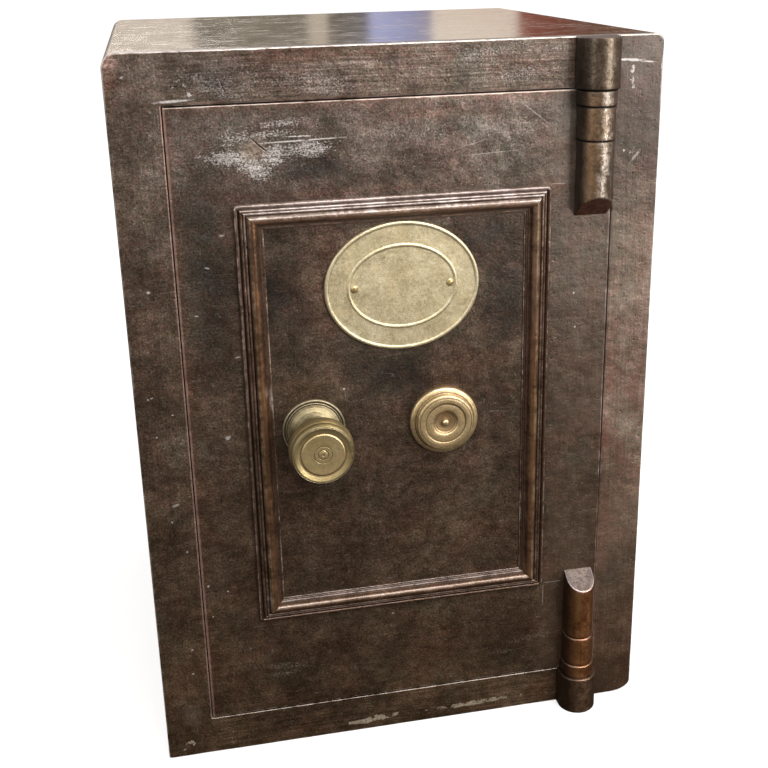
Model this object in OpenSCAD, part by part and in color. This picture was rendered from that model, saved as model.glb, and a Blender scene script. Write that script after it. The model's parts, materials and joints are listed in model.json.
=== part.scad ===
// Antique fire-resisting safe: bent iron body, one hinged door with knob,
// sliding bolts, lever lock, keyhole cover, fitted drawer and shelf.
// Origin: centre of the base, on the floor. The front faces -Y, +X is to the
// right of a person who faces the door. All lengths are in millimetres.

/* [Body] */
// Width of the body
body_w = 434; // [430:1:440]
// Height of the body
body_h = 610; // [606:1:616]
// Depth of the body, front face to back
body_d = 430; // [415:1:460]
// Thickness of the bent outer plate
shell_t = 6; // [4:0.5:6]
// Thickness of the front frame and of the door plate
front_t = 12; // [12:0.5:12.5]
// Thickness of the fire-resisting walls, outside to inside
wall_t = 75; // [74:1:80]
// Corner radius of the outer plate, top left
r_tl = 11; // [8:0.5:12]
// Corner radius of the outer plate, top right
r_tr = 7; // [6.5:0.5:9]
// Corner radius of the outer plate, bottom right
r_br = 17; // [12:0.5:18]
// Corner radius of the outer plate at its welded seam, bottom left
r_bl = 3; // [2:0.5:4]

/* [Door] */
// Left edge of the door plate
door_x0 = -176; // [-176.5:0.5:-175.5]
// Right edge of the door plate
door_x1 = 177.5; // [177:0.5:177.5]
// Bottom edge of the door plate
door_z0 = 36.5; // [36.5:0.5:38]
// Top edge of the door plate
door_z1 = 569.6; // [568.6:0.5:569.6]
// Gap between the door plate and the frame
door_gap = 1; // [0.9:0.05:1.1]
// Depth of the fire-resisting pan behind the door plate
pan_d = 62; // [61:0.5:62]

/* [Hinges] */
// Hinge axis, left to right
hinge_x = 160.2; // [160:0.1:160.4]
// Hinge axis, distance in front of the door face
hinge_p = 7; // [6.8:0.1:7]
// Radius of the hinge pins
pin_r = 7; // [6:0.5:7]
// Running clearance round the pins and the spindle
run_c = 0.08; // [0.03:0.01:0.1]

/* [Lock and bolts] */
// Height of the knob and of the keyhole
centre_z = 303; // [302:1:304]
// Knob axis, left to right
knob_x = -75; // [-75.5:0.5:-74.5]
// Keyhole axis, left to right
key_x = 35; // [34.5:0.5:35.5]
// Travel of the bolts
throw_x = 22; // [21:0.5:22]
// Radius of the bolts and of the fixed dogs' bolt holes
bolt_r = 11; // [10:0.5:11]

/* [Inside] */
// Height of the shelf's underside
shelf_z = 265; // [264:1:280]
// Front of the drawer, behind the face of the safe
drawer_d0 = 160; // [158:1:170]

/* [Hidden] */
$fn = 64;
e = 0.02;
yf = -body_d/2;
iron = [0.27, 0.24, 0.22];
iron2 = [0.33, 0.30, 0.28];
hinge_c = [0.36, 0.26, 0.18];
brass_c = [0.72, 0.64, 0.36];
steel_c = [0.55, 0.55, 0.56];
dark_c = [0.16, 0.15, 0.15];
fill_c = [0.72, 0.69, 0.62];

pan_x0 = -149.5;
pan_x1 = 156;
pan_z0 = 53;
pan_z1 = 553;
pan_y0 = front_t;
pan_y1 = front_t + pan_d;
jamb_x0 = -161;
jamb_x1 = 163;
jamb_z0 = 50;
jamb_z1 = 556;
in_x = body_w/2 - wall_t;
in_z0 = wall_t;
in_z1 = body_h - wall_t;
in_y1 = body_d - wall_t;
flange_y = pan_y1 + 1.5;
bolt_y = 40;
bolt_z = [190, 416];
bar_x0 = -112;
crank_r = throw_x/sqrt(2);
cover_z = centre_z - 2.5;
cover_drop = 19;

// A slab given by its x, depth behind the front face, and z limits
module slab(x0, x1, d0, d1, z0, z1)
    translate([x0, yf + d0, z0]) cube([x1 - x0, d1 - d0, z1 - z0]);
// A flat x-z outline made thick from depth d0 to depth d1
module sheet(d0, d1)
    translate([0, yf + d1, 0]) rotate([90, 0, 0]) linear_extrude(height = d1 - d0) children();
// A rod along the depth
module rod_y(x, z, r, d0, d1)
    translate([x, yf + d1, z]) rotate([90, 0, 0]) cylinder(r = r, h = d1 - d0);
// A rod along x
module rod_x(x0, x1, r, d, z)
    translate([x0, yf + d, z]) rotate([0, 90, 0]) cylinder(r = r, h = x1 - x0);
// A turned piece: the profile's x is its radius, its y the distance in front of the face
module turned(x, z)
    translate([x, yf, z]) rotate([90, 0, 0]) rotate_extrude() children();
// A solid that turns an outline in (depth, z) into a bar along x
module bar_x(x0, x1)
    translate([x0, yf, 0]) rotate([90, 0, 90]) linear_extrude(height = x1 - x0) children();

// What a rounded corner takes off a square one; sx and sz point into the body
module corner_cut(x, z, sx, sz, r) translate([x, z]) difference() {
    translate([sx > 0 ? -1 : -r, sz > 0 ? -1 : -r]) square([r + 1, r + 1]);
    translate([sx*r, sz*r]) circle(r = r);
}
// Outline of the body, shrunk by t on every side
module body_outline(t) {
    w = body_w/2 - t;
    difference() {
        translate([-w, t]) square([2*w, body_h - 2*t]);
        corner_cut(-w, body_h - t, 1, -1, max(r_tl - t, 1));
        corner_cut(w, body_h - t, -1, -1, max(r_tr - t, 1));
        corner_cut(w, t, -1, 1, max(r_br - t, 1));
        corner_cut(-w, t, 1, 1, max(r_bl - t, 1));
    }
}
module rect(x0, x1, z0, z1) translate([x0, z0]) square([x1 - x0, z1 - z0]);

// ---------------------------------------------------------------- body

module outer_shell() color(iron) sheet(front_t, body_d) difference() {
    body_outline(0);
    body_outline(shell_t);
}
module front_frame() color(iron2) sheet(0, front_t) difference() {
    body_outline(0);
    rect(door_x0 - door_gap, door_x1 + door_gap, door_z0 - door_gap, door_z1 + door_gap);
}
// Forged frame behind the front: the door plate shuts on it, and its web holds
// the bolt holes. The groove beside the hinges clears the door's edge as it swings.
module door_jamb() color(dark_c) difference() {
    union() {
        sheet(front_t, 26) difference() {
            body_outline(shell_t);
            rect(jamb_x0, jamb_x1, jamb_z0, jamb_z1);
        }
        sheet(26, pan_y1 + 1.5) difference() {
            rect(jamb_x0 - 8, jamb_x1 + 8, jamb_z0 - 8, jamb_z1 + 8);
            rect(jamb_x0, jamb_x1, jamb_z0, jamb_z1);
        }
    }
    slab(hinge_x - 20, door_x1 + 1.7, front_t - 1, 20.5, door_z0 - 1.5, door_z1 + 1.5);
    for (z = bolt_z) {
        rod_x(jamb_x0 - 9, jamb_x0 + 1, bolt_r + 1, bolt_y, z);
        rod_x(jamb_x1 - 1, jamb_x1 + 9, bolt_r + 1.5, bolt_y, z);
    }
}
// Sheet-iron caps that keep the filling out of the bolt holes
module bolt_pockets() color(dark_c) for (z = bolt_z) {
    difference() {
        slab(jamb_x0 - 22, jamb_x0 - 8, 26, 56, z - 16, z + 16);
        slab(jamb_x0 - 20, jamb_x0 - 7, 28, 54, z - 14, z + 14);
    }
    difference() {
        slab(jamb_x1 + 8, jamb_x1 + 22, 26, 56, z - 16, z + 16);
        slab(jamb_x1 + 7, jamb_x1 + 20, 28, 54, z - 14, z + 14);
    }
}
// Inner chamber: a face that the door pan shuts against, and the box behind it
module inner_lining() color(dark_c) difference() {
    union() {
        slab(jamb_x0 - 8, jamb_x1 + 8, flange_y, flange_y + 3, jamb_z0 - 8, jamb_z1 + 8);
        slab(-in_x - 3, in_x + 3, flange_y, in_y1 + 3, in_z0 - 3, in_z1 + 3);
    }
    slab(-in_x, in_x, flange_y - 1, in_y1, in_z0, in_z1);
}
module fire_filling() color(fill_c) difference() {
    sheet(26, body_d - 8) body_outline(shell_t);
    slab(jamb_x0 - 8, jamb_x1 + 8, 25, flange_y + 3, jamb_z0 - 8, jamb_z1 + 8);
    slab(-in_x - 3, in_x + 3, 25, in_y1 + 3, in_z0 - 3, in_z1 + 3);
    for (z = bolt_z) {
        slab(jamb_x0 - 22, jamb_x0 - 7, 25, 56, z - 16, z + 16);
        slab(jamb_x1 + 7, jamb_x1 + 22, 25, 56, z - 16, z + 16);
    }
    difference() {
        sheet(body_d - 30, body_d - 7) body_outline(shell_t - 1);
        sheet(body_d - 31, body_d - 12) body_outline(shell_t + 4);
        sheet(body_d - 32, body_d - 6) body_outline(shell_t + 22);
    }
    for (p = rivet_at()) rod_y(p[0], p[1], 4, body_d - 16, body_d - 6);
}
// Angle-iron ring that the back plate is riveted to
module back_angle() color(dark_c) difference() {
    sheet(body_d - 30, body_d - 8) body_outline(shell_t);
    sheet(body_d - 31, body_d - 12) body_outline(shell_t + 4);
    sheet(body_d - 32, body_d - 6) body_outline(shell_t + 22);
    for (p = rivet_at()) rod_y(p[0], p[1], 3.02, body_d - 13, body_d - 7);
}
function rivet_at() = concat(
    [for (i = [0:6]) for (s = [-1, 1]) [s*(body_w/2 - shell_t - 13), 33 + i*(body_h - 66)/6]],
    [for (i = [1:4]) for (z = [19, body_h - 19]) [-(body_w/2 - shell_t - 13) + i*(body_w - 2*shell_t - 26)/5, z]]);
module back_plate() color(iron) difference() {
    sheet(body_d - 8, body_d - 3) body_outline(shell_t);
    for (p = rivet_at()) rod_y(p[0], p[1], 3.02, body_d - 9, body_d - 2);
}
// Rivets with shallow domed heads, closed on the inside of the angle
module back_rivets() color(iron2) for (p = rivet_at())
    translate([p[0], yf + body_d - 15, p[1]]) rotate([-90, 0, 0]) rotate_extrude()
        polygon([[0, 0], [3.8, 0], [3.8, 3], [3, 3], [3, 12], [5.5, 12], [5.2, 13], [4.3, 13.9], [2.6, 14.6], [0, 14.9]]);

// ---------------------------------------------------------------- hinges

// D-shaped section: flat on the face, straight flanks, half-round nose
module hinge_section(r) {
    translate([hinge_x, yf - hinge_p]) circle(r = r);
    translate([hinge_x - r, yf - hinge_p]) square([2*r, hinge_p]);
}
module hinge_block(r, z0, z1) intersection() {
    translate([0, 0, z0]) linear_extrude(height = z1 - z0) hinge_section(r);
    translate([hinge_x - 40, yf - 60, z0 - 1]) cube([80, 60, z1 - z0 + 2]);
}
module pin_hole(z0, z1, c) translate([hinge_x, yf - hinge_p, z0]) cylinder(r = pin_r + c, h = z1 - z0);
lug_r = 17.2;
function dz(a) = centre_z + 0.05 + a;

module upper_hinge_lug() color(hinge_c) difference() {
    hinge_block(lug_r, door_z1 + 0.6, body_h);
    pin_hole(door_z1, body_h - 4, 0.02);
}
module lower_hinge_lug() color(hinge_c) difference() {
    hinge_block(lug_r, 0, door_z0 - 0.6);
    pin_hole(4, door_z0, 0.02);
}
module upper_hinge_pin() color(steel_c) translate([hinge_x, yf - hinge_p, 501]) cylinder(r = pin_r, h = body_h - 4.5 - 501);
module lower_hinge_pin() color(steel_c) translate([hinge_x, yf - hinge_p, 4.5]) cylinder(r = pin_r, h = 100.5);
module upper_hinge_collar() color(hinge_c) difference() {
    hinge_block(15.4, 557.4, door_z1);
    pin_hole(550, 580, run_c);
}
module lower_hinge_collar() color(hinge_c) difference() {
    hinge_block(14.4, door_z0, 48.4);
    pin_hole(30, 50, run_c);
}
module upper_hinge_sleeve() color(hinge_c) difference() {
    hinge_block(14.8, 530.6, 557.1);
    pin_hole(520, 560, run_c);
}
module lower_hinge_sleeve() color(hinge_c) difference() {
    hinge_block(13, 48.7, 76.8);
    pin_hole(40, 80, run_c);
}
// Long knuckles: the end is cut at a slant, high at the nose, low at the door
module upper_hinge_knuckle() color(hinge_c) difference() {
    hinge_block(14, 460, 530.3);
    bar_x(hinge_x - 20, hinge_x + 20) polygon([[5, 450], [5, 463.6], [0, 467.8], [-21, 485.4], [-30, 493], [-30, 450]]);
    pin_hole(500, 540, run_c);
}
module lower_hinge_knuckle() color(hinge_c) difference() {
    hinge_block(12.7, 77.1, 146);
    bar_x(hinge_x - 20, hinge_x + 20) polygon([[5, 156], [5, 142.45], [0, 139.2], [-20, 126.2], [-30, 119.7], [-30, 156]]);
    pin_hole(70, 106, run_c);
}

// ---------------------------------------------------------------- fittings inside

module shelf() color(dark_c) difference() {
    slab(-in_x + 0.5, in_x - 0.5, flange_y + 14, in_y1 - 0.5, shelf_z, shelf_z + 14);
    slab(-in_x - 1, in_x + 1, flange_y + 16, in_y1, shelf_z - 1, shelf_z + 12);
}
module shelf_brackets() color(dark_c) for (s = [0, 1]) mirror([s, 0, 0]) difference() {
    slab(-in_x, -in_x + 18, flange_y + 18, in_y1 - 2, shelf_z - 6, shelf_z + 12);
    slab(-in_x + 2.5, -in_x + 20, flange_y + 16, in_y1, shelf_z - 8, shelf_z + 9.5);
}
module drawer_runners() color(dark_c) for (s = [0, 1]) mirror([s, 0, 0]) difference() {
    slab(-in_x, -in_x + 20, drawer_d0 - 8, in_y1 - 2, 156, 174);
    slab(-in_x + 2.5, -in_x + 22, drawer_d0 - 10, in_y1, 154, 171.5);
}
dr_x = in_x - 4.5;
module drawer_tray() color([0.35, 0.18, 0.14]) difference() {
    slab(-dr_x, dr_x, drawer_d0 + 2.5, in_y1 - 4, 174.4, 254);
    slab(-dr_x + 2, dr_x - 2, drawer_d0 + 4.5, in_y1 - 6, 176.4, 256);
}
module drawer_front() color([0.35, 0.18, 0.14]) difference() {
    slab(-dr_x, dr_x, drawer_d0, drawer_d0 + 2.5, 174.4, 257);
    rod_y(0, 216, 2.05, drawer_d0 - 1, drawer_d0 + 4);
}
module drawer_knob() color(brass_c) translate([0, yf + drawer_d0, 216]) rotate([90, 0, 0]) rotate_extrude()
    polygon([[0, -2.4], [2, -2.4], [2, 0], [7.5, 0], [7.5, 1.5], [4.5, 2.5], [4, 6], [6.5, 8], [9, 10.5], [9.4, 12.5], [8.2, 14.4], [5, 15.6], [0, 16]]);

// ---------------------------------------------------------------- door

module keyhole_shape(c = 0) {
    translate([key_x, centre_z + 3]) circle(r = 5 + c);
    rect(key_x - 2.6 - c, key_x + 2.6 + c, centre_z - 10 - c, centre_z + 3);
}
module door_plate() color(iron2) difference() {
    slab(door_x0, door_x1, 0, front_t, door_z0, door_z1);
    rod_y(knob_x, centre_z, pin_r + run_c, -1, front_t + 1);
    sheet(-1, front_t + 1) keyhole_shape();
    rod_y(key_x, cover_z + cover_drop, 2, -1, 5);
    for (s = [-1, 1]) rod_y(1.7 + s*39.2, 420.5, 1.52, -1, 7);
}
m_x0 = -129.5;
m_x1 = 125.9;
m_z0 = 128.3;
m_z1 = 494.2;
m_wx = 22.2;
m_wz = 20.2;
// Section of the moulding: u from its outer edge to its inner edge, then the height.
// It is drawn 21.5 wide and stretched to the width w.
function arc_pts(cx, cy, r, a0, a1, n) = [for (i = [0:n]) let (a = a0 + (a1 - a0)*i/n) [cx + r*cos(a), cy + r*sin(a)]];
function mould_pts(w) = [for (p = mould_base()) [p[0]*w/21.5, p[1]]];
function mould_base() = concat([[0, 0]],
    arc_pts(1.7, 1.7, 1.7, 180, 20, 6), [[3.6, 1.7]],
    [[4.2, 1.7], [4.2, 3]], arc_pts(5.3, 3.1, 1.1, 170, 10, 5), arc_pts(7.5, 3.9, 1.1, 170, 10, 5),
    [[8.9, 3.4]], arc_pts(12.9, 3.9, 3.9, 178, 8, 10),
    [[17.6, 2.9], [18.8, 2.9], [18.8, 1.9], [20.4, 1.9], [20.4, 1], [21.5, 1], [21.5, 0]]);
module mitre(a, b, c, d) sheet(-20, 5) polygon([a, b, c, d]);
module mould_len(l, w) translate([0, 0, -1]) linear_extrude(height = l + 2) polygon(mould_pts(w));
module moulding_top() color(iron) intersection() {
    translate([m_x0, yf, m_z1]) rotate([0, 90, 0]) mirror([0, 1, 0]) mould_len(m_x1 - m_x0, m_wz);
    mitre([m_x0, m_z1], [m_x1, m_z1], [m_x1 - m_wx, m_z1 - m_wz], [m_x0 + m_wx, m_z1 - m_wz]);
}
module moulding_bottom() color(iron) intersection() {
    translate([m_x1, yf, m_z0]) rotate([0, -90, 0]) mirror([0, 1, 0]) mould_len(m_x1 - m_x0, m_wz);
    mitre([m_x0, m_z0], [m_x0 + m_wx, m_z0 + m_wz], [m_x1 - m_wx, m_z0 + m_wz], [m_x1, m_z0]);
}
module moulding_left() color(iron) intersection() {
    translate([m_x0, yf, m_z0]) mirror([0, 1, 0]) mould_len(m_z1 - m_z0, m_wx);
    mitre([m_x0, m_z0], [m_x0, m_z1], [m_x0 + m_wx, m_z1 - m_wz], [m_x0 + m_wx, m_z0 + m_wz]);
}
module moulding_right() color(iron) intersection() {
    translate([m_x1, yf, m_z0]) mirror([0, 1, 0]) mirror([1, 0, 0]) mould_len(m_z1 - m_z0, m_wx);
    mitre([m_x1, m_z0], [m_x1, m_z1], [m_x1 - m_wx, m_z1 - m_wz], [m_x1 - m_wx, m_z0 + m_wz]);
}

module knob_rose() color(brass_c) difference() {
    turned(knob_x, centre_z)
        polygon([[pin_r + 0.5, 0], [26.4, 0], [26.4, 1.6], [25.6, 2.6], [24.4, 2.8], [23.4, 2.6], [20, 4.4], [15, 6], [11.5, 6.6], [11.5, 8.6], [10.8, 9.2], [pin_r + 0.5, 9.2]]);
}
// Fixed brass ring round the keyhole, with a land that the swinging cover rides on
module keyhole_escutcheon() color(brass_c) difference() {
    turned(key_x, cover_z)
        polygon([[0, 0], [29.3, 0], [29.3, 3.5], [28.8, 4.5], [27.3, 5.1], [25.7, 5.4], [24.7, 6], [0, 6]]);
    sheet(-20, 1) keyhole_shape(0.2);
    rod_y(key_x, cover_z + cover_drop, 2, -20, 1);
}
// Pin with a spread tip that stays hidden in the thickness of the cover
module cover_pivot_pin() color(brass_c) turned(key_x, cover_z + cover_drop)
    polygon([[0, -4.5], [1.98, -4.5], [1.98, 7.6], [2.6, 8.2], [2.6, 8.7], [0, 8.7]]);
// Turned cover that hangs from the pin near its top edge; the pin's pocket is blind
module keyhole_cover() color(brass_c) difference() {
    turned(key_x, cover_z)
        polygon([[0, 6.2], [24.2, 6.2], [24.5, 7], [24.5, 9], [24, 9.9], [22.8, 10.4], [20.5, 10.6], [18.4, 10.5],
            [17.6, 10.2], [17.2, 9.7], [15, 9.6], [12, 9.5], [10.6, 9.3], [9.6, 8.6], [8, 7.9], [5, 7.6], [3, 7.6],
            [2.9, 8.6], [2.5, 9.8], [1.6, 10.7], [0, 11]]);
    turned(key_x, cover_z + cover_drop)
        polygon([[0, 5], [2.06, 5], [2.06, 7.5], [2.9, 8.2], [2.9, 9], [0, 9]]);
}

// Oval plate with a rim bead and an inner oval line
function ell(a, b, n) = [for (i = [0:n-1]) [1.7 + a*cos(360*i/n), 420.2 + b*sin(360*i/n)]];
module oval_plate() color(brass_c) difference() {
    union() {
        sheet(-2.2, 0) polygon(ell(63.6, 53.4, 96));
        sheet(-3, -2.2 + e) difference() { polygon(ell(63.2, 53, 96)); polygon(ell(60.4, 50.2, 96)); }
        sheet(-2.9, -2.2 + e) difference() { polygon(ell(44.8, 34.6, 96)); polygon(ell(42.6, 32.4, 96)); }
    }
    for (s = [-1, 1]) rod_y(1.7 + s*39.2, 420.5, 1.56, -5, 1);
}
module plate_screws() color(brass_c) for (s = [-1, 1]) difference() {
    turned(1.7 + s*39.2, 420.5)
        polygon([[0, -6.5], [1.5, -6.5], [1.5, 2.25], [3.1, 2.25], [2.9, 3], [2.1, 3.6], [0, 3.9]]);
    translate([1.7 + s*39.2 - 4, yf - 5, 420.5 - 0.35]) cube([8, 1.8, 0.7]);
}

// ---------------------------------------------------------------- door, inside

module door_pan() color(dark_c) difference() {
    slab(pan_x0, pan_x1, pan_y0, pan_y1 - 2.5, pan_z0, pan_z1);
    slab(pan_x0 + 3, pan_x1 - 3, pan_y0 + 3, pan_y1 - 5.5, pan_z0 + 3, pan_z1 - 3);
    slab(pan_x0 + 18, pan_x1 - 18, pan_y0 - 1, pan_y1, pan_z0 + 18, pan_z1 - 18);
    for (z = bolt_z) {
        rod_x(pan_x0 - 1, pan_x0 + 4, bolt_r + 0.1, bolt_y, z);
        rod_x(pan_x1 - 4, pan_x1 + 1, 10.05, bolt_y, z);
    }
    for (p = cover_screw_at()) rod_y(p[0], p[1], 2.52, pan_y1 - 7, pan_y1);
}
function cover_screw_at() = [for (x = [pan_x0 + 10, (pan_x0 + pan_x1)/2, pan_x1 - 10]) for (z = [pan_z0 + 10, (pan_z0 + pan_z1)/2, pan_z1 - 10])
    if (!(abs(x - (pan_x0 + pan_x1)/2) < 1 && abs(z - (pan_z0 + pan_z1)/2) < 1)) [x, z]];
module filling_tray() color(dark_c) slab(pan_x0 + 3.2, pan_x1 - 3.2, 53, 55, pan_z0 + 3.2, pan_z1 - 3.2);
module door_filling() color(fill_c) difference() {
    union() {
        slab(pan_x0 + 3.2, pan_x1 - 3.2, 55, pan_y1 - 5.6, pan_z0 + 3.2, pan_z1 - 3.2);
        slab(pan_x0 + 18.2, pan_x1 - 18.2, 55, pan_y1 - 2.6, pan_z0 + 18.2, pan_z1 - 18.2);
    }
    for (p = cover_screw_at()) rod_y(p[0], p[1], 3, pan_y1 - 9, pan_y1);
}
module pan_cover() color(dark_c) difference() {
    slab(pan_x0, pan_x1, pan_y1 - 2.5, pan_y1, pan_z0, pan_z1);
    for (p = cover_screw_at()) rod_y(p[0], p[1], 2.52, pan_y1 - 3, pan_y1 + 1);
}
module pan_cover_screws() color(steel_c) for (p = cover_screw_at()) difference() {
    translate([p[0], yf + pan_y1 - 8, p[1]]) rotate([-90, 0, 0]) rotate_extrude()
        polygon([[0, 0], [2.5, 0], [2.5, 8], [4.4, 8], [4.2, 8.7], [3, 9.1], [0, 9.2]]);
    translate([p[0] - 0.5, yf + pan_y1 + 0.5, p[1] - 5]) cube([1, 2, 10]);
}
module hinge_dogs() color(steel_c) for (z = bolt_z) {
    rod_x(pan_x1 - 3.5, pan_x1 + 13, 10, bolt_y, z);
    rod_x(pan_x1 - 8, pan_x1 - 3.2, 12.5, bolt_y, z);
}
module bolt_guides() color(iron2) for (z = bolt_z) difference() {
    slab(pan_x0 + 3.2, pan_x0 + 13.5, 15, 52.8, z - 17, z + 17);
    rod_x(pan_x0 + 2, pan_x0 + 15, bolt_r + 0.1, bolt_y, z);
}
module hard_plate() color(steel_c) difference() {
    slab(key_x - 27, key_x + 57, 12, 15, 250, 336);
    sheet(10, 16) keyhole_shape(0.3);
}
// Lock: a case with its bolt sliding upwards into the bolt bar
lk_x0 = key_x - 25;
lk_x1 = key_x + 55;
module lock_case() color(iron2) difference() {
    slab(lk_x0, lk_x1, 15, 46, 256, 330);
    slab(lk_x0 + 2.5, lk_x1 - 2.5, 17.5, 47, 258.5, 327.5);
    sheet(14, 18) keyhole_shape(0.3);
    rod_y(key_x + 27, 268, 2.52, 14, 19);
    slab(key_x + 11.7, key_x + 24.3, 36.3, 41.7, 326, 331);
}
module lock_cap() color(brass_c) difference() {
    slab(lk_x0, lk_x1, 46, 48, 256, 330);
    rod_y(key_x + 27, 268, 2.52, 45, 49);
    rod_y(key_x, centre_z, 3, 45, 49);
}
module lever_post() color(steel_c) {
    rod_y(key_x + 27, 268, 2.5, 15.2, 48);
    rod_y(key_x + 27, 268, 3, 17.5, 46);
}
module lock_bolt() color(brass_c) difference() {
    union() {
        slab(key_x + 7, key_x + 33, 36.5, 41.5, 262, 317.5);
        slab(key_x + 12, key_x + 24, 36.5, 41.5, 317, 329.6);
        slab(key_x + 18.5, key_x + 23.5, 23.4, 37, 305.5, 310.5);
    }
    slab(key_x + 23.6, key_x + 30.4, 36, 42, 261, 271.5);
    slab(key_x + 6, key_x + 14, 36, 42, 296, 310);
}
// Six levers on one post, each with two pockets and a gate between them
module lock_levers() color(brass_c) for (i = [0:5]) sheet(24 + 2*i, 25.6 + 2*i) difference() {
    polygon([[key_x + 21, 261], [key_x + 33, 261], [key_x + 35, 324.5], [key_x + 14, 324.5], [key_x + 11.5, 312],
        [key_x + 10.5, 303], [key_x + 11.5, 294], [key_x + 17, 280]]);
    translate([key_x + 27, 268]) circle(r = 3.06);
    rect(key_x + 18.1, key_x + 23.9, 304.9, 320.6);
    rect(key_x + 18.1, key_x + 28.4, 304.9, 311.4);
    rect(key_x + 18.1, key_x + 29.4, 313.8, 320.6);
}

// ---------------------------------------------------------------- knob and bolts

module knob() color(brass_c) turned(knob_x, centre_z)
    polygon([[0, 24], [pin_r + 0.02, 24], [pin_r + 0.02, 9.8], [9.4, 9.8], [9, 14], [9.2, 19], [10.4, 23.5], [13.5, 27], [18, 29.2],
        [19.6, 29.8], [19.6, 31.6], [22.4, 32.8], [24.8, 35.2], [25.9, 38.4], [26.1, 41.5], [26.1, 44.5], [25.7, 46.8],
        [25, 48.2], [24.9, 49.4], [25.2, 50.4], [25, 52.2], [24.4, 53.6], [23.6, 54.4], [22.4, 54.4], [20, 53.4],
        [17.9, 52.8], [17.3, 53.4], [16.6, 53.8], [12, 53.6], [7.6, 53.6], [7.2, 53.3], [4, 53.4], [3.5, 53.9], [1.6, 54.2], [0, 54.2]]);
module spindle() color(steel_c) rod_y(knob_x, centre_z, pin_r, -23.8, 34);
module spindle_collar() color(steel_c) difference() {
    rod_y(knob_x, centre_z, 13, front_t + 0.4, 18);
    rod_y(knob_x, centre_z, pin_r + 0.02, 0, 30);
}
// Crank on the spindle; its pin drives the bolt bar through a slot
module spindle_crank() color(iron2) difference() {
    union() {
        rod_y(knob_x, centre_z, 21.5, 24, 33);
        rod_y(knob_x, centre_z, 12, 18.2, 25);
        rod_y(knob_x + crank_r*sin(45), centre_z + crank_r*cos(45), 4, 32, 46);
    }
    rod_y(knob_x, centre_z, pin_r + 0.02, 10, 35);
}
slot_x = knob_x + crank_r*sin(45);
module bolt_bar() color(iron2) difference() {
    union() {
        slab(bar_x0, bar_x0 + 22, 36, 44, 178, 428);
        slab(bar_x0 + 5, slot_x + 14, 36, 44, 300, 356);
        slab(bar_x0 + 5, key_x + 55, 36, 44, 334, 356);
    }
    slab(slot_x - 4.75, slot_x + 4.75, 35, 45, centre_z + crank_r*cos(45) - 5, centre_z + crank_r + 5.4);
    for (a = [0, throw_x]) slab(key_x + 11.2 + a, key_x + 24.8 + a, 35, 45, 333, 341.5);
    for (z = bolt_z) rod_y(bar_x0 + 6, z, 3.02, 35, 45);
}
module bolts() color(steel_c) for (z = bolt_z) difference() {
    rod_x(pan_x0 + 0.5, bar_x0 + 12, bolt_r, bolt_y, z);
    slab(bar_x0 - 0.1, bar_x0 + 13, 35.95, 44.05, z - 12, z + 12);
    rod_y(bar_x0 + 6, z, 3.02, 20, 60);
}
module bolt_rivets() color(steel_c) for (z = bolt_z) rod_y(bar_x0 + 6, z, 3, 30.5, 49.5);

outer_shell();
front_frame();
door_jamb();
inner_lining();
fire_filling();
back_angle();
back_plate();
back_rivets();
bolt_pockets();
upper_hinge_lug();
lower_hinge_lug();
upper_hinge_pin();
lower_hinge_pin();
shelf();
shelf_brackets();
drawer_runners();
door_plate();
moulding_top();
moulding_bottom();
moulding_left();
moulding_right();
upper_hinge_collar();
lower_hinge_collar();
upper_hinge_sleeve();
lower_hinge_sleeve();
upper_hinge_knuckle();
lower_hinge_knuckle();
door_pan();
filling_tray();
door_filling();
pan_cover();
pan_cover_screws();
hinge_dogs();
bolt_guides();
hard_plate();
lock_case();
lock_cap();
lever_post();
knob_rose();
keyhole_escutcheon();
cover_pivot_pin();
oval_plate();
plate_screws();
knob();
spindle();
spindle_collar();
spindle_crank();
bolt_bar();
bolts();
bolt_rivets();
keyhole_cover();
lock_bolt();
lock_levers();
drawer_tray();
drawer_front();
drawer_knob();
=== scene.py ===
# Antique safe: surfaces, detailed meshes, light and camera around the fixed frame.
# Lengths in the helpers are millimetres; meshes are written in metres, in the part's own frame.
import json
import math

import bmesh
import bpy
import numpy as np
from mathutils import Matrix, Vector

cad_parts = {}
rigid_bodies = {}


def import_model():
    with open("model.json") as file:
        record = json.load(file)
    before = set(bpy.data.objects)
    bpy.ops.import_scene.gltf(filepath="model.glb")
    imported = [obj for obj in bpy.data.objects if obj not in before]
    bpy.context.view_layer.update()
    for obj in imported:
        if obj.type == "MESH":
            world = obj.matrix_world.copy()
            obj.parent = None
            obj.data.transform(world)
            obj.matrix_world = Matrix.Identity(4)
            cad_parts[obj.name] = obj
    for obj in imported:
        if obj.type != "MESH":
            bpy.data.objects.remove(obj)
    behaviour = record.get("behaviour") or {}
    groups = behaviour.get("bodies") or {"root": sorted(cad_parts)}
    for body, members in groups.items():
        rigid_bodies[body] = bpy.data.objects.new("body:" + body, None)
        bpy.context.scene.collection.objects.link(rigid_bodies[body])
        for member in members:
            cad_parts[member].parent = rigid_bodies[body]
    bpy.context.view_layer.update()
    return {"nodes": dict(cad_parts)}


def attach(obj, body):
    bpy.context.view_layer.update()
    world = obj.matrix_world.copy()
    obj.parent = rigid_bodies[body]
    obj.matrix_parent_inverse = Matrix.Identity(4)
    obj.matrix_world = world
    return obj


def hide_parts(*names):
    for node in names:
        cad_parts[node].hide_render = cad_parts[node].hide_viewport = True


for old in list(bpy.data.objects):
    bpy.data.objects.remove(old)
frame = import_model()
scene = bpy.context.scene
nodes = frame["nodes"]
YF = -215.0

# ------------------------------------------------------------------ numbers


def hash3(i, j, k, seed):
    n = (i * 374761393 + j * 668265263 + k * 1274126177 + seed * 974634777) & 0xFFFFFFFF
    n = ((n ^ (n >> 13)) * 1274126177) & 0xFFFFFFFF
    return ((n ^ (n >> 16)) & 0xFFFF) / 32767.5 - 1.0


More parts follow.
